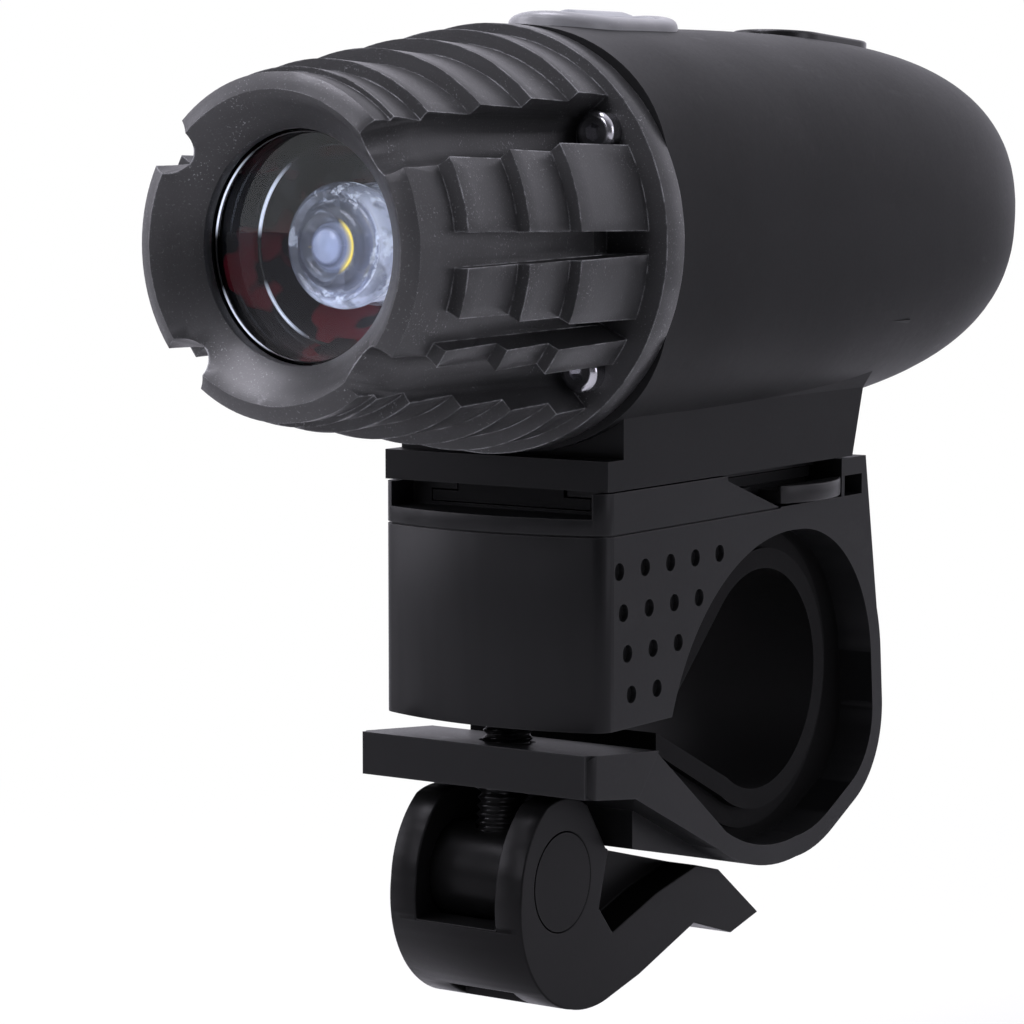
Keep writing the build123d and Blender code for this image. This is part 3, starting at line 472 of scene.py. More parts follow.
@dataclass(frozen=True)
class WindowGlass(Finish):
    """Clear flat glass with faint ripples and smears."""

    name: str = "window_glass"
    tint: Colour = (0.93, 0.96, 1.0)
    gloss: float = 0.2
    refraction: float = 1.46
    smears: Spots = Spots(2.5, (0.55, 0.8), 4.0, 0.65)
    smear_roughness: float = 0.03
    ripple_mm: float = 4.0
    ripple_strength: float = 0.03
    ripple_depth_mm: float = 0.03

    def draw(self, graph: MaterialGraph) -> None:
        """Draw the glass, its smears and its ripples."""
        ripple = graph.noise(self.ripple_mm, 1.0)
        graph.surface({"Base Color": self.tint, "Transmission Weight": 1.0,
                       "Roughness": graph.spots(self.smears) * self.smear_roughness,
                       "IOR": self.refraction, "Specular IOR Level": self.gloss,
                       "Normal": graph.bump(ripple, self.ripple_strength, self.ripple_depth_mm)})


@dataclass(frozen=True)
class LensPlastic(Finish):
    """Clear bluish lens plastic, pale in its outer ring and middle from painted reflection, with a painted
    lit side, painted glints, the amber source painted at one side of a groove, and a glow.
    """

    height_mm: float
    name: str = "ringed_lens"
    amber: Colour = (0.9, 0.7, 0.1)
    # glint is a painted highlight colour; gap and dark are painted shade.
    glint: Colour = (0.72, 0.78, 0.92)
    gap: Colour = (0.05, 0.055, 0.075)
    dark: Colour = (0.025, 0.028, 0.04)
    haze: Colour = (0.75, 0.8, 0.95)
    haze_share: float = 0.12
    amber_ring: tuple[float, float, float] = (1.9, 2.3, 2.75)
    amber_side: Levels = (0.7, 1.7)
    reach_mm: float = 6.0
    # Painted reflection and shade: colours by radius for the bright and dark rings of the lens.
    rings: tuple[tuple[float, Colour], ...] = (
        (0.0, (0.29, 0.34, 0.5)), (0.22, (0.27, 0.31, 0.46)), (0.285, (0.06, 0.07, 0.11)),
        (0.33, (0.2, 0.23, 0.34)), (0.4, (0.03, 0.035, 0.05)), (0.6, (0.05, 0.055, 0.075)),
        (0.7, (0.2, 0.22, 0.3)), (0.76, (0.09, 0.1, 0.15)), (0.84, (0.5, 0.54, 0.68)),
        (0.93, (0.4, 0.44, 0.58)))
    swirl_mm: float = 2.2
    swirl_reach_mm: float = 3.0
    light_slant: float = 0.6
    lit_levels: Levels = (-2.0, 4.4)
    middle_levels: Levels = (1.7, 2.2)
    rim_levels: Levels = (3.6, 4.4)
    glints: Spots = Spots(1.7, (0.52, 0.64))
    glint_share: float = 0.7
    gaps: Spots = Spots(2.1, (0.5, 0.62), 2.0, 0.5)
    gap_share: float = 0.55
    refraction: float = 1.47
    clearness: float = 0.6
    glow: float = 0.75
    roughness: float = 0.03
    swirl_roughness: float = 0.05
    swirl_strength: float = 0.08
    swirl_depth_mm: float = 0.06

    def draw(self, graph: MaterialGraph) -> None:
        """Draw the painted rings, the painted lit side, the painted glints in the rim and the amber arc, all
        of which also glow.
        """
        across, up, radius = graph.polar(self.height_mm)
        start, peak, end = self.amber_ring
        ring = graph.ramp(radius, (start, peak)) * (1.0 - graph.ramp(radius, (peak, end)))
        swirl = graph.noise(self.swirl_mm, 3.0, 0.6)
        stops = graph.add("ShaderNodeValToRGB", {"stops": self.rings}, {0: radius / self.reach_mm})
        slant = across - up * self.light_slant + swirl * self.swirl_reach_mm
        inner = 1.0 - graph.ramp(radius, self.middle_levels)
        rim = graph.ramp(radius, self.rim_levels)
        # Painted light and shade: the side facing the light and the middle take the ring colours, the rest
        # takes the painted dark.
        shade = graph.mix(graph.ramp(slant, self.lit_levels).highest(inner), self.dark, stops.outputs[0])
        # Painted glints and painted dark gaps in the outer ring.
        shade = graph.mix(rim * graph.spots(self.glints) * self.glint_share, shade, self.glint)
        shade = graph.mix(rim * graph.spots(self.gaps) * self.gap_share, shade, self.gap)
        # The amber source, painted onto one side of the groove where it shows through the lens.
        shade = graph.mix(ring * graph.ramp(across, self.amber_side), shade, self.amber)
        # The painted colour also glows, though the lens is no lamp.
        graph.surface({"Base Color": graph.mix(self.haze_share, shade, self.haze),
                       "Roughness": self.roughness + swirl * self.swirl_roughness,
                       "IOR": self.refraction, "Transmission Weight": self.clearness,
                       "Emission Color": shade, "Emission Strength": self.glow,
                       "Normal": graph.bump(swirl, self.swirl_strength, self.swirl_depth_mm)})


@dataclass(frozen=True)
class PaintedGlintRing(Finish):
    """Ring in the cup with painted highlights: bright stretches painted where it faces the light from the
    left, which also glow.
    """

    height_mm: float
    name: str = "painted_glint_ring"
    dull: Colour = grey(24)
    bright: Colour = (0.8, 0.86, 1.0)
    left_levels: Levels = (-4.5, -2.0)
    upper_start: Levels = (0.05, 0.22)
    upper_end: Levels = (0.5, 0.85)
    lower_start: Levels = (-0.5, -0.35)
    lower_end: Levels = (-0.95, -0.75)
    lower_share: float = 0.6
    roughness: float = 0.12
    bright_roughness: float = 0.05
    metallic: float = 0.4
    # Glow of the painted highlight, though the ring is no lamp.
    glow: float = 0.55

    def draw(self, graph: MaterialGraph) -> None:
        """Draw the painted highlights, one over the middle and a fainter one under it, which also glow."""
        across, up, radius = graph.polar(self.height_mm)
        level = up / radius
        left = 1.0 - graph.ramp(across, self.left_levels)
        upper = graph.ramp(level, self.upper_start) * (1.0 - graph.ramp(level, self.upper_end))
        lower = (1.0 - graph.ramp(level, self.lower_start)) * graph.ramp(level, self.lower_end)
        # Painted highlight: share of the bright colour, also used as glow.
        share = left * (upper + lower * self.lower_share)
        graph.surface({"Base Color": graph.mix(share, self.dull, self.bright),
                       "Roughness": self.roughness + share * self.bright_roughness,
                       "Metallic": self.metallic, "Emission Color": graph.mix(share, BLACK, self.bright),
                       "Emission Strength": self.glow})


@dataclass(frozen=True)
class BlackCup(Finish):
    """Glossy black plastic with painted dark red reflections, mostly in its lower half."""

    height_mm: float
    name: str = "holder_plastic"
    base: Colour = grey(5)
    red_reflection: Colour = (0.12, 0.004, 0.01)
    red_reflection_spots: Spots = Spots(3.6, (0.5, 0.6), 1.0, 0.5)
    upper_levels: Levels = (-1.0, 3.0)
    upper_loss: float = 0.8
    roughness: float = 0.08
    fine_mm: float = 0.8
    fine_roughness: float = 0.05
    gloss: float = 0.22
    wave_mm: float = 2.6
    wave_strength: float = 0.1
    wave_depth_mm: float = 0.1

    def draw(self, graph: MaterialGraph) -> None:
        """Draw the black gloss and its painted red reflections."""
        _, up, _ = graph.polar(self.height_mm)
        low = 1.0 - graph.ramp(up, self.upper_levels) * self.upper_loss
        fine = graph.noise(self.fine_mm, 3.0)
        wave = graph.noise(self.wave_mm)
        # Painted reflection: dark red spots, fainter towards the top.
        graph.surface({"Base Color": graph.mix(graph.spots(self.red_reflection_spots) * low, self.base, self.red_reflection),
                       "Roughness": self.roughness + fine * self.fine_roughness,
                       "Specular IOR Level": self.gloss,
                       "Normal": graph.bump(wave, self.wave_strength, self.wave_depth_mm)})


@dataclass(frozen=True)
class LightSource(Finish):
    """Amber square with a pale clear dome."""

    dome_place_mm: float
    name: str = "emitter"
    amber: Colour = (0.9, 0.72, 0.12)
    pale: Colour = (0.62, 0.7, 0.85)
    border_mm: float = 0.15
    fine_mm: float = 0.4
    roughness: float = 0.18
    fine_roughness: float = 0.08
    coat: float = 0.5
    fine_strength: float = 0.05
    fine_depth_mm: float = 0.02

    def draw(self, graph: MaterialGraph) -> None:
        """Draw the dome in front of the square."""
        _, along, _ = graph.along()
        front = 1.0 - graph.ramp(along, (self.dome_place_mm - self.border_mm, self.dome_place_mm))
        fine = graph.noise(self.fine_mm)
        graph.surface({"Base Color": graph.mix(front, self.amber, self.pale),
                       "Roughness": self.roughness + fine * self.fine_roughness, "Coat Weight": self.coat,
                       "Normal": graph.bump(fine, self.fine_strength, self.fine_depth_mm)})


@dataclass(frozen=True)
class SoftSilicone(Finish):
    """Smooth cloudy silicone with fine dust."""

    name: str
    base: Colour
    shade: Colour
    roughness: float = 0.38
    gloss: float = 0.5
    cloud_mm: float = 3.2
    cloud_change: float = 0.12
    fine_mm: float = 0.25
    dust: Colour = grey(190)
    dust_levels: Levels = (0.64, 0.76)
    dust_share: float = 0.2
    fine_strength: float = 0.08
    fine_depth_mm: float = 0.03

    def draw(self, graph: MaterialGraph) -> None:
        """Draw the cloudy silicone and its dust."""
        cloud = graph.noise(self.cloud_mm, 3.0)
        fine = graph.noise(self.fine_mm)
        colour = graph.mix(cloud, self.base, self.shade)
        colour = graph.mix(graph.ramp(fine, self.dust_levels) * self.dust_share, colour, self.dust)
        graph.surface({"Base Color": colour, "Specular IOR Level": self.gloss,
                       "Roughness": self.roughness + (cloud - 0.5) * self.cloud_change,
                       "Normal": graph.bump(fine, self.fine_strength, self.fine_depth_mm)})


class Skin:
    """A mesh that is built from loops of points."""

    merge_mm = 0.002
    smooth_angle = 38.0

    def __init__(self, name: str) -> None:
        """Start an empty mesh."""
        self.name = name
        self.points: list[Vector] = []
        self.faces: list[tuple[int, ...]] = []

    def loop(self, points: Iterable[Vector]) -> list[int]:
        """Add a loop of points given in millimetres.

        Args:
            points: The points.

        Returns:
            Their numbers in the mesh.
        """
        start = len(self.points)
        self.points += [Vector(point) * MILLIMETRE for point in points]
        return list(range(start, len(self.points)))

    def bridge(self, loops: Sequence[Sequence[int]]) -> None:
        """Join each loop to the next, all of equal length, by a band of faces."""
        for first, second in zip(loops, loops[1:]):
            for index in range(len(first)):
                after = (index + 1) % len(first)
                self.faces.append((first[index], first[after], second[after], second[index]))

    def cap(self, loop: Sequence[int]) -> None:
        """Close a loop with one face."""
        self.faces.append(tuple(loop))

    def piece(self, material: bpy.types.Material) -> bpy.types.Object:
        """Make the object, its faces all turned outwards and shaded smoothly where they bend softly.

        Args:
            material: The piece's material.

        Returns:
            The object.
        """
        mesh = bpy.data.meshes.new(self.name)
        mesh.from_pydata(self.points, [], self.faces)
        solid = bmesh.new()
        solid.from_mesh(mesh)
        bmesh.ops.remove_doubles(solid, verts=solid.verts, dist=self.merge_mm * MILLIMETRE)
        bmesh.ops.recalc_face_normals(solid, faces=solid.faces)
        limit = math.radians(self.smooth_angle)
        for edge in solid.edges:
            edge.smooth = len(edge.link_faces) == 2 and edge.calc_face_angle(0.0) < limit
        for face in solid.faces:
            face.smooth = True
        solid.to_mesh(mesh)
        solid.free()
        piece = bpy.data.objects.new(self.name, mesh)
        bpy.context.scene.collection.objects.link(piece)
        mesh.materials.append(material)
        return piece


def middle(node: str) -> Vector:
    """Middle of a CAD node's box in millimetres."""
    low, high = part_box(node)
    return (Vector(low) + Vector(high)) / (2 * MILLIMETRE)


def circle(radius: float, count: int) -> list[tuple[float, float]]:
    """Points of a circle round nought, as two distances each."""
    angles = [math.tau * index / count for index in range(count)]
    return [(radius * math.cos(angle), radius * math.sin(angle)) for angle in angles]


def spun(name: str, profile: Sequence[tuple[float, float]], origin: Vector, segments: int = 96) -> Skin:
    """Closed form turned about a line along Y.

    Args:
        name: Name of the piece.
        profile: Closed outline as radius and place along Y, in millimetres.
        origin: A point on the line; places are measured from it.
        segments: Points round the line.

    Returns:
        The mesh, ready to become a piece.
    """
    skin = Skin(name)
    loops = [skin.loop(origin + Vector((x, place, z)) for x, z in circle(radius, segments))
             for radius, place in profile]
    skin.bridge(loops + loops[:1])
    return skin


@dataclass(frozen=True)
class Lamp:
    """Soft round lamp that faces the object; place and size in metres, power in watts."""

    name: str
    place: tuple[float, float, float]
    size: float
    power: float


@dataclass
class Studio:
    """Floor, soft lamps, white surround and the photograph's camera."""

    eye_mm: tuple[float, float, float] = (190.5, -311.1, 54.31)
    target_mm: tuple[float, float, float] = (5.06, -35.86, 19.54)
    focal_pixels: float = 3613.0
    frame_pixels: float = 1024.0
    sensor_mm: float = 36.0
    nearest: float = 0.01
    farthest: float = 20.0
    tint: Colour = (0.98, 0.955, 1.07)
    lamps: tuple[Lamp, ...] = (
        Lamp("lamp_front", (-0.3, -1.3, 0.7), 0.7, 7.0),
        Lamp("lamp_top", (-0.3, -0.3, 1.25), 0.8, 23.5),
        Lamp("lamp_right", (1.3, 0.2, 0.3), 0.7, 3.6),
        Lamp("lamp_left", (-1.2, -0.6, 0.4), 0.7, 6.0))
    soft_light: float = 0.35
    bright_side: tuple[float, float, float] = (-0.4, 1.0, 1.0)
    room_levels: Levels = (-0.6, 1.2)
    room_brightness: Levels = (0.12, 1.35)
    floor_size: float = 6.0
    paper: Colour = (0.64, 0.64, 0.64)
    paper_glow: float = 0.8
    glow_reach_mm: Levels = (60.0, 260.0)

    def camera(self) -> None:
        """Place the camera where the photograph was taken from."""
        data = bpy.data.cameras.new("camera")
        data.sensor_width = self.sensor_mm
        data.lens = self.focal_pixels / self.frame_pixels * self.sensor_mm
        data.clip_start = self.nearest
        data.clip_end = self.farthest
        camera = bpy.data.objects.new("camera", data)
        bpy.context.scene.collection.objects.link(camera)
        eye = Vector(self.eye_mm) * MILLIMETRE
        target = Vector(self.target_mm) * MILLIMETRE
        camera.location = eye
        camera.rotation_euler = (target - eye).to_track_quat("-Z", "Y").to_euler()
        bpy.context.scene.camera = camera

    def light(self) -> None:
        """Add the soft lamps, each facing the object."""
        for lamp in self.lamps:
            data = bpy.data.lights.new(lamp.name, "AREA")
            data.shape = "DISK"
            data.size = lamp.size
            data.energy = lamp.power
            data.color = self.tint
            piece = bpy.data.objects.new(lamp.name, data)
            piece.location = lamp.place
            piece.rotation_euler = (-Vector(lamp.place)).to_track_quat("-Z", "Y").to_euler()
            bpy.context.scene.collection.objects.link(piece)

    def world(self) -> None:
        """Even soft light, white where the camera or glass looks past the object.

        Gloss sees a bright wall and ceiling behind and above the object, and a darker room in front of it.
        """
        world = bpy.data.worlds.new("surround")
        bpy.context.scene.world = world
        graph = Graph(world, "ShaderNodeOutputWorld")
        ray = graph.add("ShaderNodeLightPath", {}, {}).outputs
        direction = graph.add("ShaderNodeTexCoord", {}, {}).outputs["Generated"]
        fade = graph.ramp(graph.dot(direction, self.bright_side), self.room_levels, self.room_brightness)
        soft, room, white = (
            graph.add("ShaderNodeBackground", {}, {"Color": colour, "Strength": strength}).outputs[0]
            for colour, strength in ((self.tint, self.soft_light), (self.tint, fade), (WHITE, 1.0)))
        lit = graph.choose(ray["Is Glossy Ray"], soft, room)
        clear = graph.choose(ray["Is Transmission Ray"], lit, white)
        graph.finish(graph.choose(ray["Is Camera Ray"], clear, white))

    def floor(self, height: float) -> None:
        """Lay a pale floor under the object, white to the camera but with its shadow."""
        mesh = bpy.data.meshes.new("floor")
        half = self.floor_size / 2
        corners = [(-half, -half, height), (half, -half, height), (half, half, height), (-half, half, height)]
        mesh.from_pydata(corners, [], [tuple(range(len(corners)))])
        floor = bpy.data.objects.new("floor", mesh)
        bpy.context.scene.collection.objects.link(floor)
        graph = MaterialGraph("floor_paper")
        paper = graph.add("ShaderNodeBsdfDiffuse", {}, {"Color": self.paper}).outputs[0]
        glow = graph.add("ShaderNodeEmission", {}, {"Color": WHITE, "Strength": 1.0}).outputs[0]
        seen = graph.add("ShaderNodeLightPath", {}, {}).outputs["Is Camera Ray"]
        across, along, _ = graph.along()
        away = (across * across + along * along) ** 0.5
        share = graph.ramp(away, self.glow_reach_mm) * (1.0 - self.paper_glow) + self.paper_glow
        graph.finish(graph.choose(Value(graph, seen) * share, paper, glow))
        floor.data.materials.append(graph.material)

    @staticmethod
    def open_lever_reach() -> float:
        """Lowest height that the swung lever can reach, in metres."""
        pin = middle("trunnion_pin") * MILLIMETRE
        low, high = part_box("cam_lever")
        corners = [(y, z) for y in (low[1], high[1]) for z in (low[2], high[2])]
        return pin.z - max(math.hypot(y - pin.y, z - pin.z) for y, z in corners)

    def build(self) -> None:
        """Set the camera, the lamps, the surround and the floor, clear of the open lever."""
        self.camera()
        self.light()
        self.world()
        self.floor(self.open_lever_reach())
        LOG.info("studio is set with %d lamps", len(self.lamps))


@dataclass
class Dresser:
    """Puts finishes on the pieces that come from the frame and softens their edges."""

    nodes: Mapping[str, bpy.types.Object]
    weld_mm: float = 0.0005
    sharp_angle: float = 35.0
    segments: int = 2

    def paint(self, finish: Finish, *names: str) -> None:
        """Give each named piece the material of one finish.

        Args:
            finish: Their finish.
            names: Names of the pieces.
        """
        material = finish.material()
        for name in names:
            slots = self.nodes[name].data.materials
            slots.clear()
            slots.append(material)
            LOG.info("finished %s with %s", name, material.name)

    def soften(self, name: str, width_mm: float) -> None:
        """Round a piece's sharp edges a little, and shade it smoothly.

        Args:
            name: Name of the piece.
            width_mm: Width of the rounding.
        """
        piece = self.nodes[name]
        weld = piece.modifiers.new("joined_faces", "WELD")
        weld.merge_threshold = self.weld_mm * MILLIMETRE
        bevel = piece.modifiers.new("soft_edges", "BEVEL")
        bevel.width = width_mm * MILLIMETRE
        bevel.segments = self.segments
        bevel.limit_method = "ANGLE"
        bevel.angle_limit = math.radians(self.sharp_angle)
        bevel.harden_normals = True
        bevel.use_clamp_overlap = True


@dataclass
class LensGroup:
    """Window, ringed lens, light source and the cup behind the head's aperture."""

    aperture_height: float = 44.5
    window_radius: float = 11.7
    window_thickness: float = 1.5
    window_chamfer: float = 0.25
    pinhole: float = 0.02
    lens_front: float = 3.0
    lens_profile: tuple[tuple[float, float], ...] = (
        (0.02, 0.0), (0.7, 0.03), (1.3, 0.14), (1.7, 0.34), (1.92, 0.62), (2.02, 0.95), (2.2, 1.08),
        (2.42, 0.92), (2.75, 0.72), (3.2, 0.74), (3.65, 0.95), (3.95, 1.3), (4.12, 1.62), (4.32, 1.7),
        (4.55, 1.52), (4.9, 1.46), (5.25, 1.66), (5.5, 2.1), (5.62, 2.7), (5.6, 3.4), (5.4, 4.2),
        (5.15, 5.0))
    skirt_radius: float = 3.75
    hollow: tuple[tuple[float, float], ...] = ((3.75, 5.6), (3.2, 4.6), (2.2, 3.9), (1.1, 3.6), (0.02, 3.55))
    # Fine rings that carry painted glints.
    rings: Mapping[str, tuple[float, float, float]] = field(default_factory=lambda: {
        "window_glint_ring": (10.05, -0.12, 0.1), "cup_glint_ring": (8.9, 5.2, 0.17)})
    ring_segments: int = 128
    bead_points: int = 10
    dome_depth: float = 0.9

    def build(self) -> None:
        """Build the window and the ringed lens in place of the plain lens."""
        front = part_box("lens_optic")[0][1] / MILLIMETRE
        origin = Vector((0.0, front, self.aperture_height))
        edge, thick, chamfer = self.window_radius, self.window_thickness, self.window_chamfer
        pane = [(self.pinhole, 0.0), (edge / 2, 0.0), (edge - chamfer, 0.0), (edge, chamfer),
                (edge, thick - chamfer), (edge - chamfer, thick), (self.pinhole, thick)]
        window = spun("lens_window", pane, origin).piece(WindowGlass().material())
        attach(window, "light")
        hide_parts("lens_optic")
        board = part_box("led_board")[0][1] / MILLIMETRE - front
        profile = [(radius, self.lens_front + place) for radius, place in self.lens_profile]
        profile += [(self.lens_profile[-1][0], board), (self.skirt_radius, board)]
        profile += [(radius, self.lens_front + place) for radius, place in self.hollow]
        lens = spun("ringed_lens", profile, origin).piece(LensPlastic(self.aperture_height).material())
        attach(lens, "light")
        LOG.info("lens window and ringed lens stand at %.2f mm", front)
        self.build_rings(origin)

    def build_rings(self, origin: Vector) -> None:
        """Build the fine rings in front of the window and on the cup's wall, which carry painted glints."""
        for name, (radius, place, bead) in self.rings.items():
            profile = [(radius + out, place + along) for out, along in circle(bead, self.bead_points)]
            material = PaintedGlintRing(self.aperture_height, name).material()
            ring = spun(name, profile, origin, self.ring_segments).piece(material)
            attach(ring, "light")
            LOG.info("%s has a radius of %.2f mm", name, radius)

    def dress(self, dresser: Dresser) -> None:
        """Put finishes on the solids behind the window."""
        dresser.paint(BlackCup(self.aperture_height), "lens_holder")
        dome_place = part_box("led_emitter")[1][1] / MILLIMETRE - self.dome_depth
        dresser.paint(LightSource(dome_place), "led_emitter")
        dresser.paint(PlainMetal("metal_board", (0.62, 0.68, 0.78), 0.3), "led_board")
        dresser.paint(PlainMetal("bare_aluminium", (0.75, 0.75, 0.77), 0.35), "heat_plate")


@dataclass
class PowerButton:
    """Oval silicone pad in its raised surround, on top of the body."""

    crown_radius: float = 20.0
    surround_proud: float = 1.3
    pad_proud: float = 1.55
    wall: float = 1.9
    gap: float = 0.25
    surround_steps: tuple[tuple[float, float], ...] = (
        (0.0, 0.75), (0.06, 0.46), (0.2, 0.24), (0.42, 0.1), (0.75, 0.02), (1.15, 0.0), (1.5, 0.06),
        (1.74, 0.2), (1.88, 0.42))
    pad_steps: tuple[tuple[float, float], ...] = (
        (0.0, 0.7), (0.08, 0.5), (0.28, 0.36), (0.6, 0.36), (1.0, 0.5), (1.5, 0.56), (2.0, 0.46),
        (2.5, 0.27), (2.95, 0.12), (3.3, 0.03), (3.62, 0.0))
    frame_drop: float = 0.7
    skirt: float = -2.2
    stem_radius: float = 1.6
    arc_points: int = 24
    side_points: int = 12
    surround_finish: Finish = SoftSilicone("surround_silicone", grey(126, -0.01), grey(112, -0.03))
    pad_finish: Finish = SoftSilicone("pad_silicone", grey(112, -0.07), grey(92, -0.08), 0.3, 0.6)

    def oval(self, length: float, width: float, inset: float) -> list[tuple[float, float]]:
        """Points of a stadium long in Y, moved in by the inset.

        Args:
            length: Length over its round ends.
            width: Width.
            inset: How far the outline is moved in.

        Returns:
            The points as X and Y.
        """
        radius = width / 2 - inset
        straight = (length - width) / 2
        points = []
        for end, start in ((1, 0.0), (-1, math.pi)):
            for index in range(self.arc_points + 1):
                angle = start + math.pi * index / self.arc_points
                points.append((radius * math.cos(angle), end * straight + radius * math.sin(angle)))
            for index in range(1, self.side_points):
                share = index / self.side_points
                points.append((-end * radius, end * straight * (1 - 2 * share)))
        return points

    def crown(self, across: float, proud: float) -> float:
        """Height of the crown over the body's top line at a distance from the middle."""
        return math.sqrt((self.crown_radius + proud) ** 2 - across ** 2) - self.crown_radius

    def ring(self, skin: Skin, size: tuple[float, float], origin: Vector, inset: float, drop: float,
             proud: float) -> list[int]:
        """Add one loop that lies a drop below the crown."""
        return skin.loop(origin + Vector((x, y, self.crown(x, proud) - drop))
                         for x, y in self.oval(*size, inset))

    def level(self, skin: Skin, size: tuple[float, float], origin: Vector, inset: float,
              height: float) -> list[int]:
        """Add one flat loop at a height over the top line."""
        return skin.loop(origin + Vector((x, y, height)) for x, y in self.oval(*size, inset))

    def build(self) -> None:
        """Build the surround and the pad in place of their plain solids."""
        low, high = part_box("button_surround")
        size = ((high[1] - low[1]) / MILLIMETRE, (high[0] - low[0]) / MILLIMETRE)
        top = high[2] / MILLIMETRE - self.surround_proud
        centre = middle("button_surround")
        origin = Vector((centre.x, centre.y, top))
        self.build_surround(size, origin, low[2] / MILLIMETRE - top)
        border = 2 * (self.wall + self.gap)
        self.build_pad((size[0] - border, size[1] - border), origin)

    def build_surround(self, size: tuple[float, float], origin: Vector, floor: float) -> None:
        """Build the raised frame with its rounded shoulders."""
        skin = Skin("button_surround_soft")
        loops = [self.level(skin, size, origin, 0.0, floor)]
        loops += [self.ring(skin, size, origin, inset, drop, self.surround_proud)
                  for inset, drop in self.surround_steps]
        loops.append(self.ring(skin, size, origin, self.wall, self.frame_drop, self.surround_proud))
        loops.append(self.level(skin, size, origin, self.wall, floor))
        skin.bridge(loops + loops[:1])
        piece = skin.piece(self.surround_finish.material())
        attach(piece, "light")
        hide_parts("button_surround")
        LOG.info("button surround stands %.2f mm proud", self.surround_proud)

    def build_pad(self, size: tuple[float, float], origin: Vector) -> None:
        """Build the pad, grooved round its raised middle, with its stem."""
        skin = Skin("power_button_soft")
        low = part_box("power_button")[0][2] / MILLIMETRE - origin.z
        loops = [self.ring(skin, size, origin, inset, drop, self.pad_proud)
                 for inset, drop in reversed(self.pad_steps)]
        loops.append(self.level(skin, size, origin, 0.0, self.skirt))
        stem = circle(self.stem_radius, len(loops[-1]))
        loops += [skin.loop(origin + Vector((x, y, height)) for x, y in stem) for height in (self.skirt, low)]
        skin.bridge(loops)
        skin.cap(loops[0])
        skin.cap(loops[-1])
        piece = skin.piece(self.pad_finish.material())
        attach(piece, "button")
        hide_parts("power_button")
        LOG.info("button pad stands %.2f mm proud", self.pad_proud)


@dataclass
class ClampBolt:
    """Threaded rod between the trunnion pin and the nut."""

    tilt: float = 8.1
    pitch: float = 0.8
    depth: float = 0.42
    steps: int = 8
    segments: int = 32
    lead_in: float = 0.5
    finish: Finish = PlainMetal("blackened_steel", grey(62), 0.38, 0.8)

    def build(self) -> None:
        """Build the thread in place of the plain rod."""
        low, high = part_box("clamp_bolt")
        radius = (high[0] - low[0]) / (2 * MILLIMETRE)
        lean = math.radians(self.tilt)
        height = (high[2] - low[2]) / MILLIMETRE
        length = (height - 2 * radius * math.sin(lean)) / math.cos(lean)
        turn = Matrix.Rotation(-lean, 3, "X")
        centre = middle("clamp_bolt")
        skin = Skin("clamp_bolt_thread")
        count = int(length / self.pitch * self.steps)
        loops = []
        for step in range(count + 1):
            place = length * step / count
            nearest = min(place, length - place)
            taper = max(0.0, 1 - nearest / self.lead_in)
            ring = []
            for index in range(self.segments):
                angle = math.tau * index / self.segments
                phase = (place / self.pitch - index / self.segments) % 1.0
                ridge = 1 - abs(2 * phase - 1)
                reach = radius - self.depth * (1 - ridge) - taper * self.depth * ridge
                point = Vector((reach * math.cos(angle), reach * math.sin(angle), place - length / 2))
                ring.append(centre + turn @ point)
            loops.append(skin.loop(ring))
        skin.bridge(loops)
        skin.cap(loops[0])
        skin.cap(loops[-1])
        piece = skin.piece(self.finish.material())
        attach(piece, "clamp")
        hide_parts("clamp_bolt")
        LOG.info("clamp bolt is %.2f mm long", length)


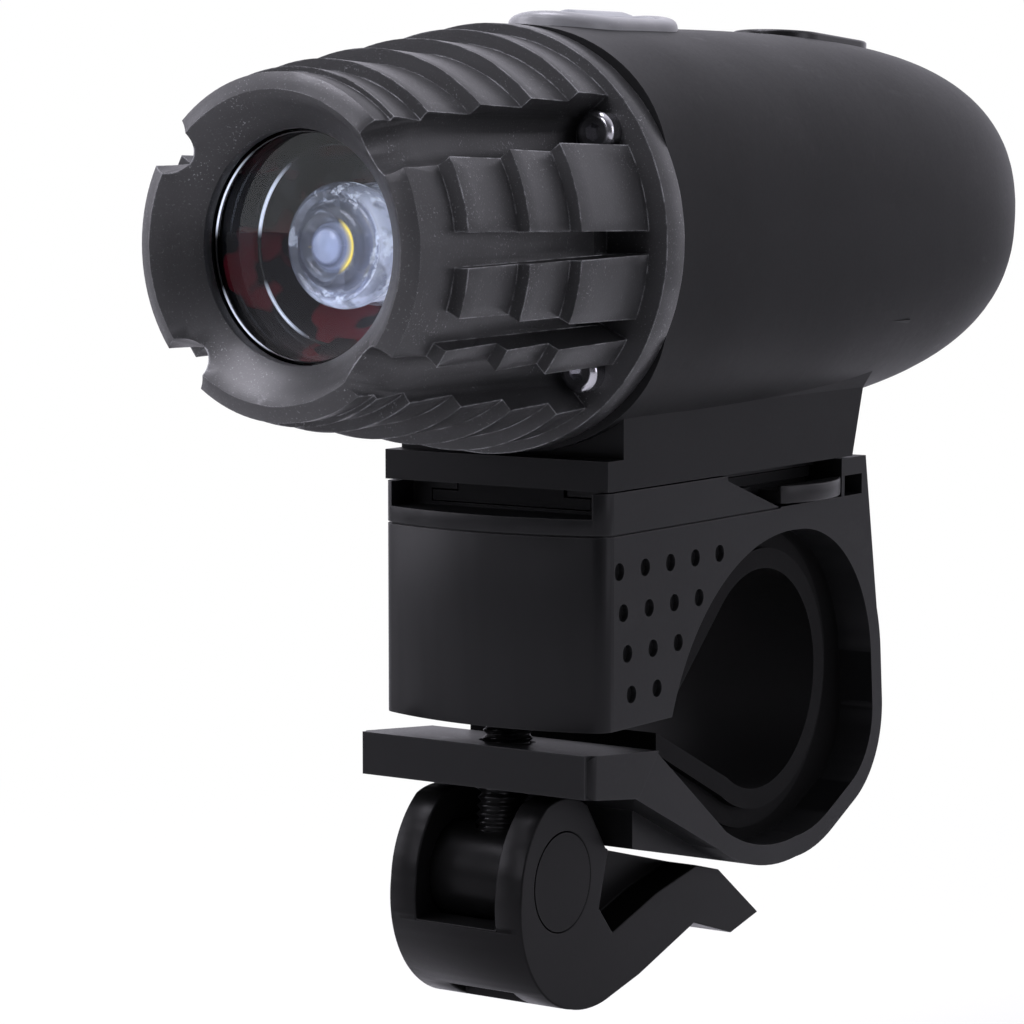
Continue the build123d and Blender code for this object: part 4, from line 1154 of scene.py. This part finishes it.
@dataclass
class Housings:
    """Head, rear body, clamp and lever, which keep their solids and get finishes and soft edges."""

    casting: Finish = PaintedCasting()
    body: Finish = MouldedPlastic("body_plastic", grey(14, -0.03), 0.5, grain_mm=0.35, grain_strength=0.1,
                                  edge_highlight_share=0.05, gloss=0.1)
    clamp: Finish = MouldedPlastic("clamp_plastic", grey(14, -0.03), 0.42, grain_mm=0.4, grain_strength=0.08,
                                   edge_highlight_share=0.1)
    lever: Finish = MouldedPlastic("lever_plastic", grey(11), 0.38, grain_mm=0.4, grain_strength=0.08,
                                   edge_highlight_share=0.1, gloss=0.085)
    pin: Finish = MouldedPlastic("pin_plastic", grey(8), 0.36, grain_mm=0.4, grain_strength=0.06,
                                 edge_highlight_share=0.1, gloss=0.075)
    tab: Finish = MouldedPlastic("tab_plastic", grey(18), 0.4, gloss=0.2)
    rubber: Finish = MouldedPlastic("liner_rubber", grey(7), 0.6, grain_strength=0.1, edge_highlight_share=0.03,
                                    gloss=0.05)
    flap: Finish = MouldedPlastic("socket_rubber", grey(17), 0.32, grain_strength=0.05, edge_highlight_share=0.1,
                                  gloss=0.3)
    roundings_mm: Mapping[str, float] = field(default_factory=lambda: {
        "head_housing": 0.16, "clamp_bracket": 0.28, "cam_lever": 0.4, "trunnion_pin": 0.35,
        "release_tab_right": 0.2, "release_tab_left": 0.2})

    def dress(self, dresser: Dresser) -> None:
        """Put finishes on the outer solids."""
        dresser.paint(self.casting, "head_housing")
        dresser.paint(self.body, "rear_body", "battery_cradle")
        dresser.paint(self.clamp, "clamp_bracket")
        dresser.paint(self.lever, "cam_lever")
        dresser.paint(self.pin, "trunnion_pin")
        dresser.paint(self.tab, "release_tab_right", "release_tab_left")
        dresser.paint(self.rubber, "rubber_liner", "lens_seal", "body_seal")
        dresser.paint(self.flap, "port_cover")

    def soften(self, dresser: Dresser) -> None:
        """Round the sharp edges of the outer solids."""
        for name, width in self.roundings_mm.items():
            dresser.soften(name, width)
            LOG.info("rounded %s by %.2f mm", name, width)


@dataclass
class Internals:
    """Battery, electronics and fasteners."""

    chrome: Finish = PlainMetal("screw_chrome", (0.42, 0.42, 0.44), 0.2, 0.6)
    steel: Finish = PlainMetal("plated_steel", (0.5, 0.5, 0.52), 0.32)
    switch: Finish = MouldedPlastic("switch_plastic", grey(30), 0.3, grain_mm=0.5, grain_strength=0.03,
                                    edge_highlight_share=0.0, gloss=0.5)
    board: Finish = MouldedPlastic("circuit_board", (0.02, 0.16, 0.07), 0.3, grain_mm=0.6,
                                   grain_strength=0.03, edge_highlight_share=0.0, gloss=0.5)
    sleeve: Finish = MouldedPlastic("cell_sleeve", (0.04, 0.16, 0.42), 0.3, grain_mm=0.6,
                                    grain_strength=0.03, edge_highlight_share=0.0, gloss=0.5)

    def dress(self, dresser: Dresser) -> None:
        """Put finishes on the inner solids."""
        dresser.paint(self.chrome, "head_screws")
        dresser.paint(self.steel, "clamp_nut", "usb_socket", "battery_tabs")
        dresser.paint(self.switch, "tactile_switch")
        dresser.paint(self.board, "control_board")
        dresser.paint(self.sleeve, "battery_cell")


def main() -> None:
    """Build the scene round the frame."""
    logging.basicConfig(level=logging.INFO)
    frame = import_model()
    Studio().build()
    dresser = Dresser(frame["nodes"])
    lens = LensGroup()
    lens.build()
    lens.dress(dresser)
    PowerButton().build()
    ClampBolt().build()
    housings = Housings()
    housings.dress(dresser)
    housings.soften(dresser)
    Internals().dress(dresser)
    bpy.context.scene.view_settings.view_transform = "Standard"


if __name__ == "__main__":
    main()
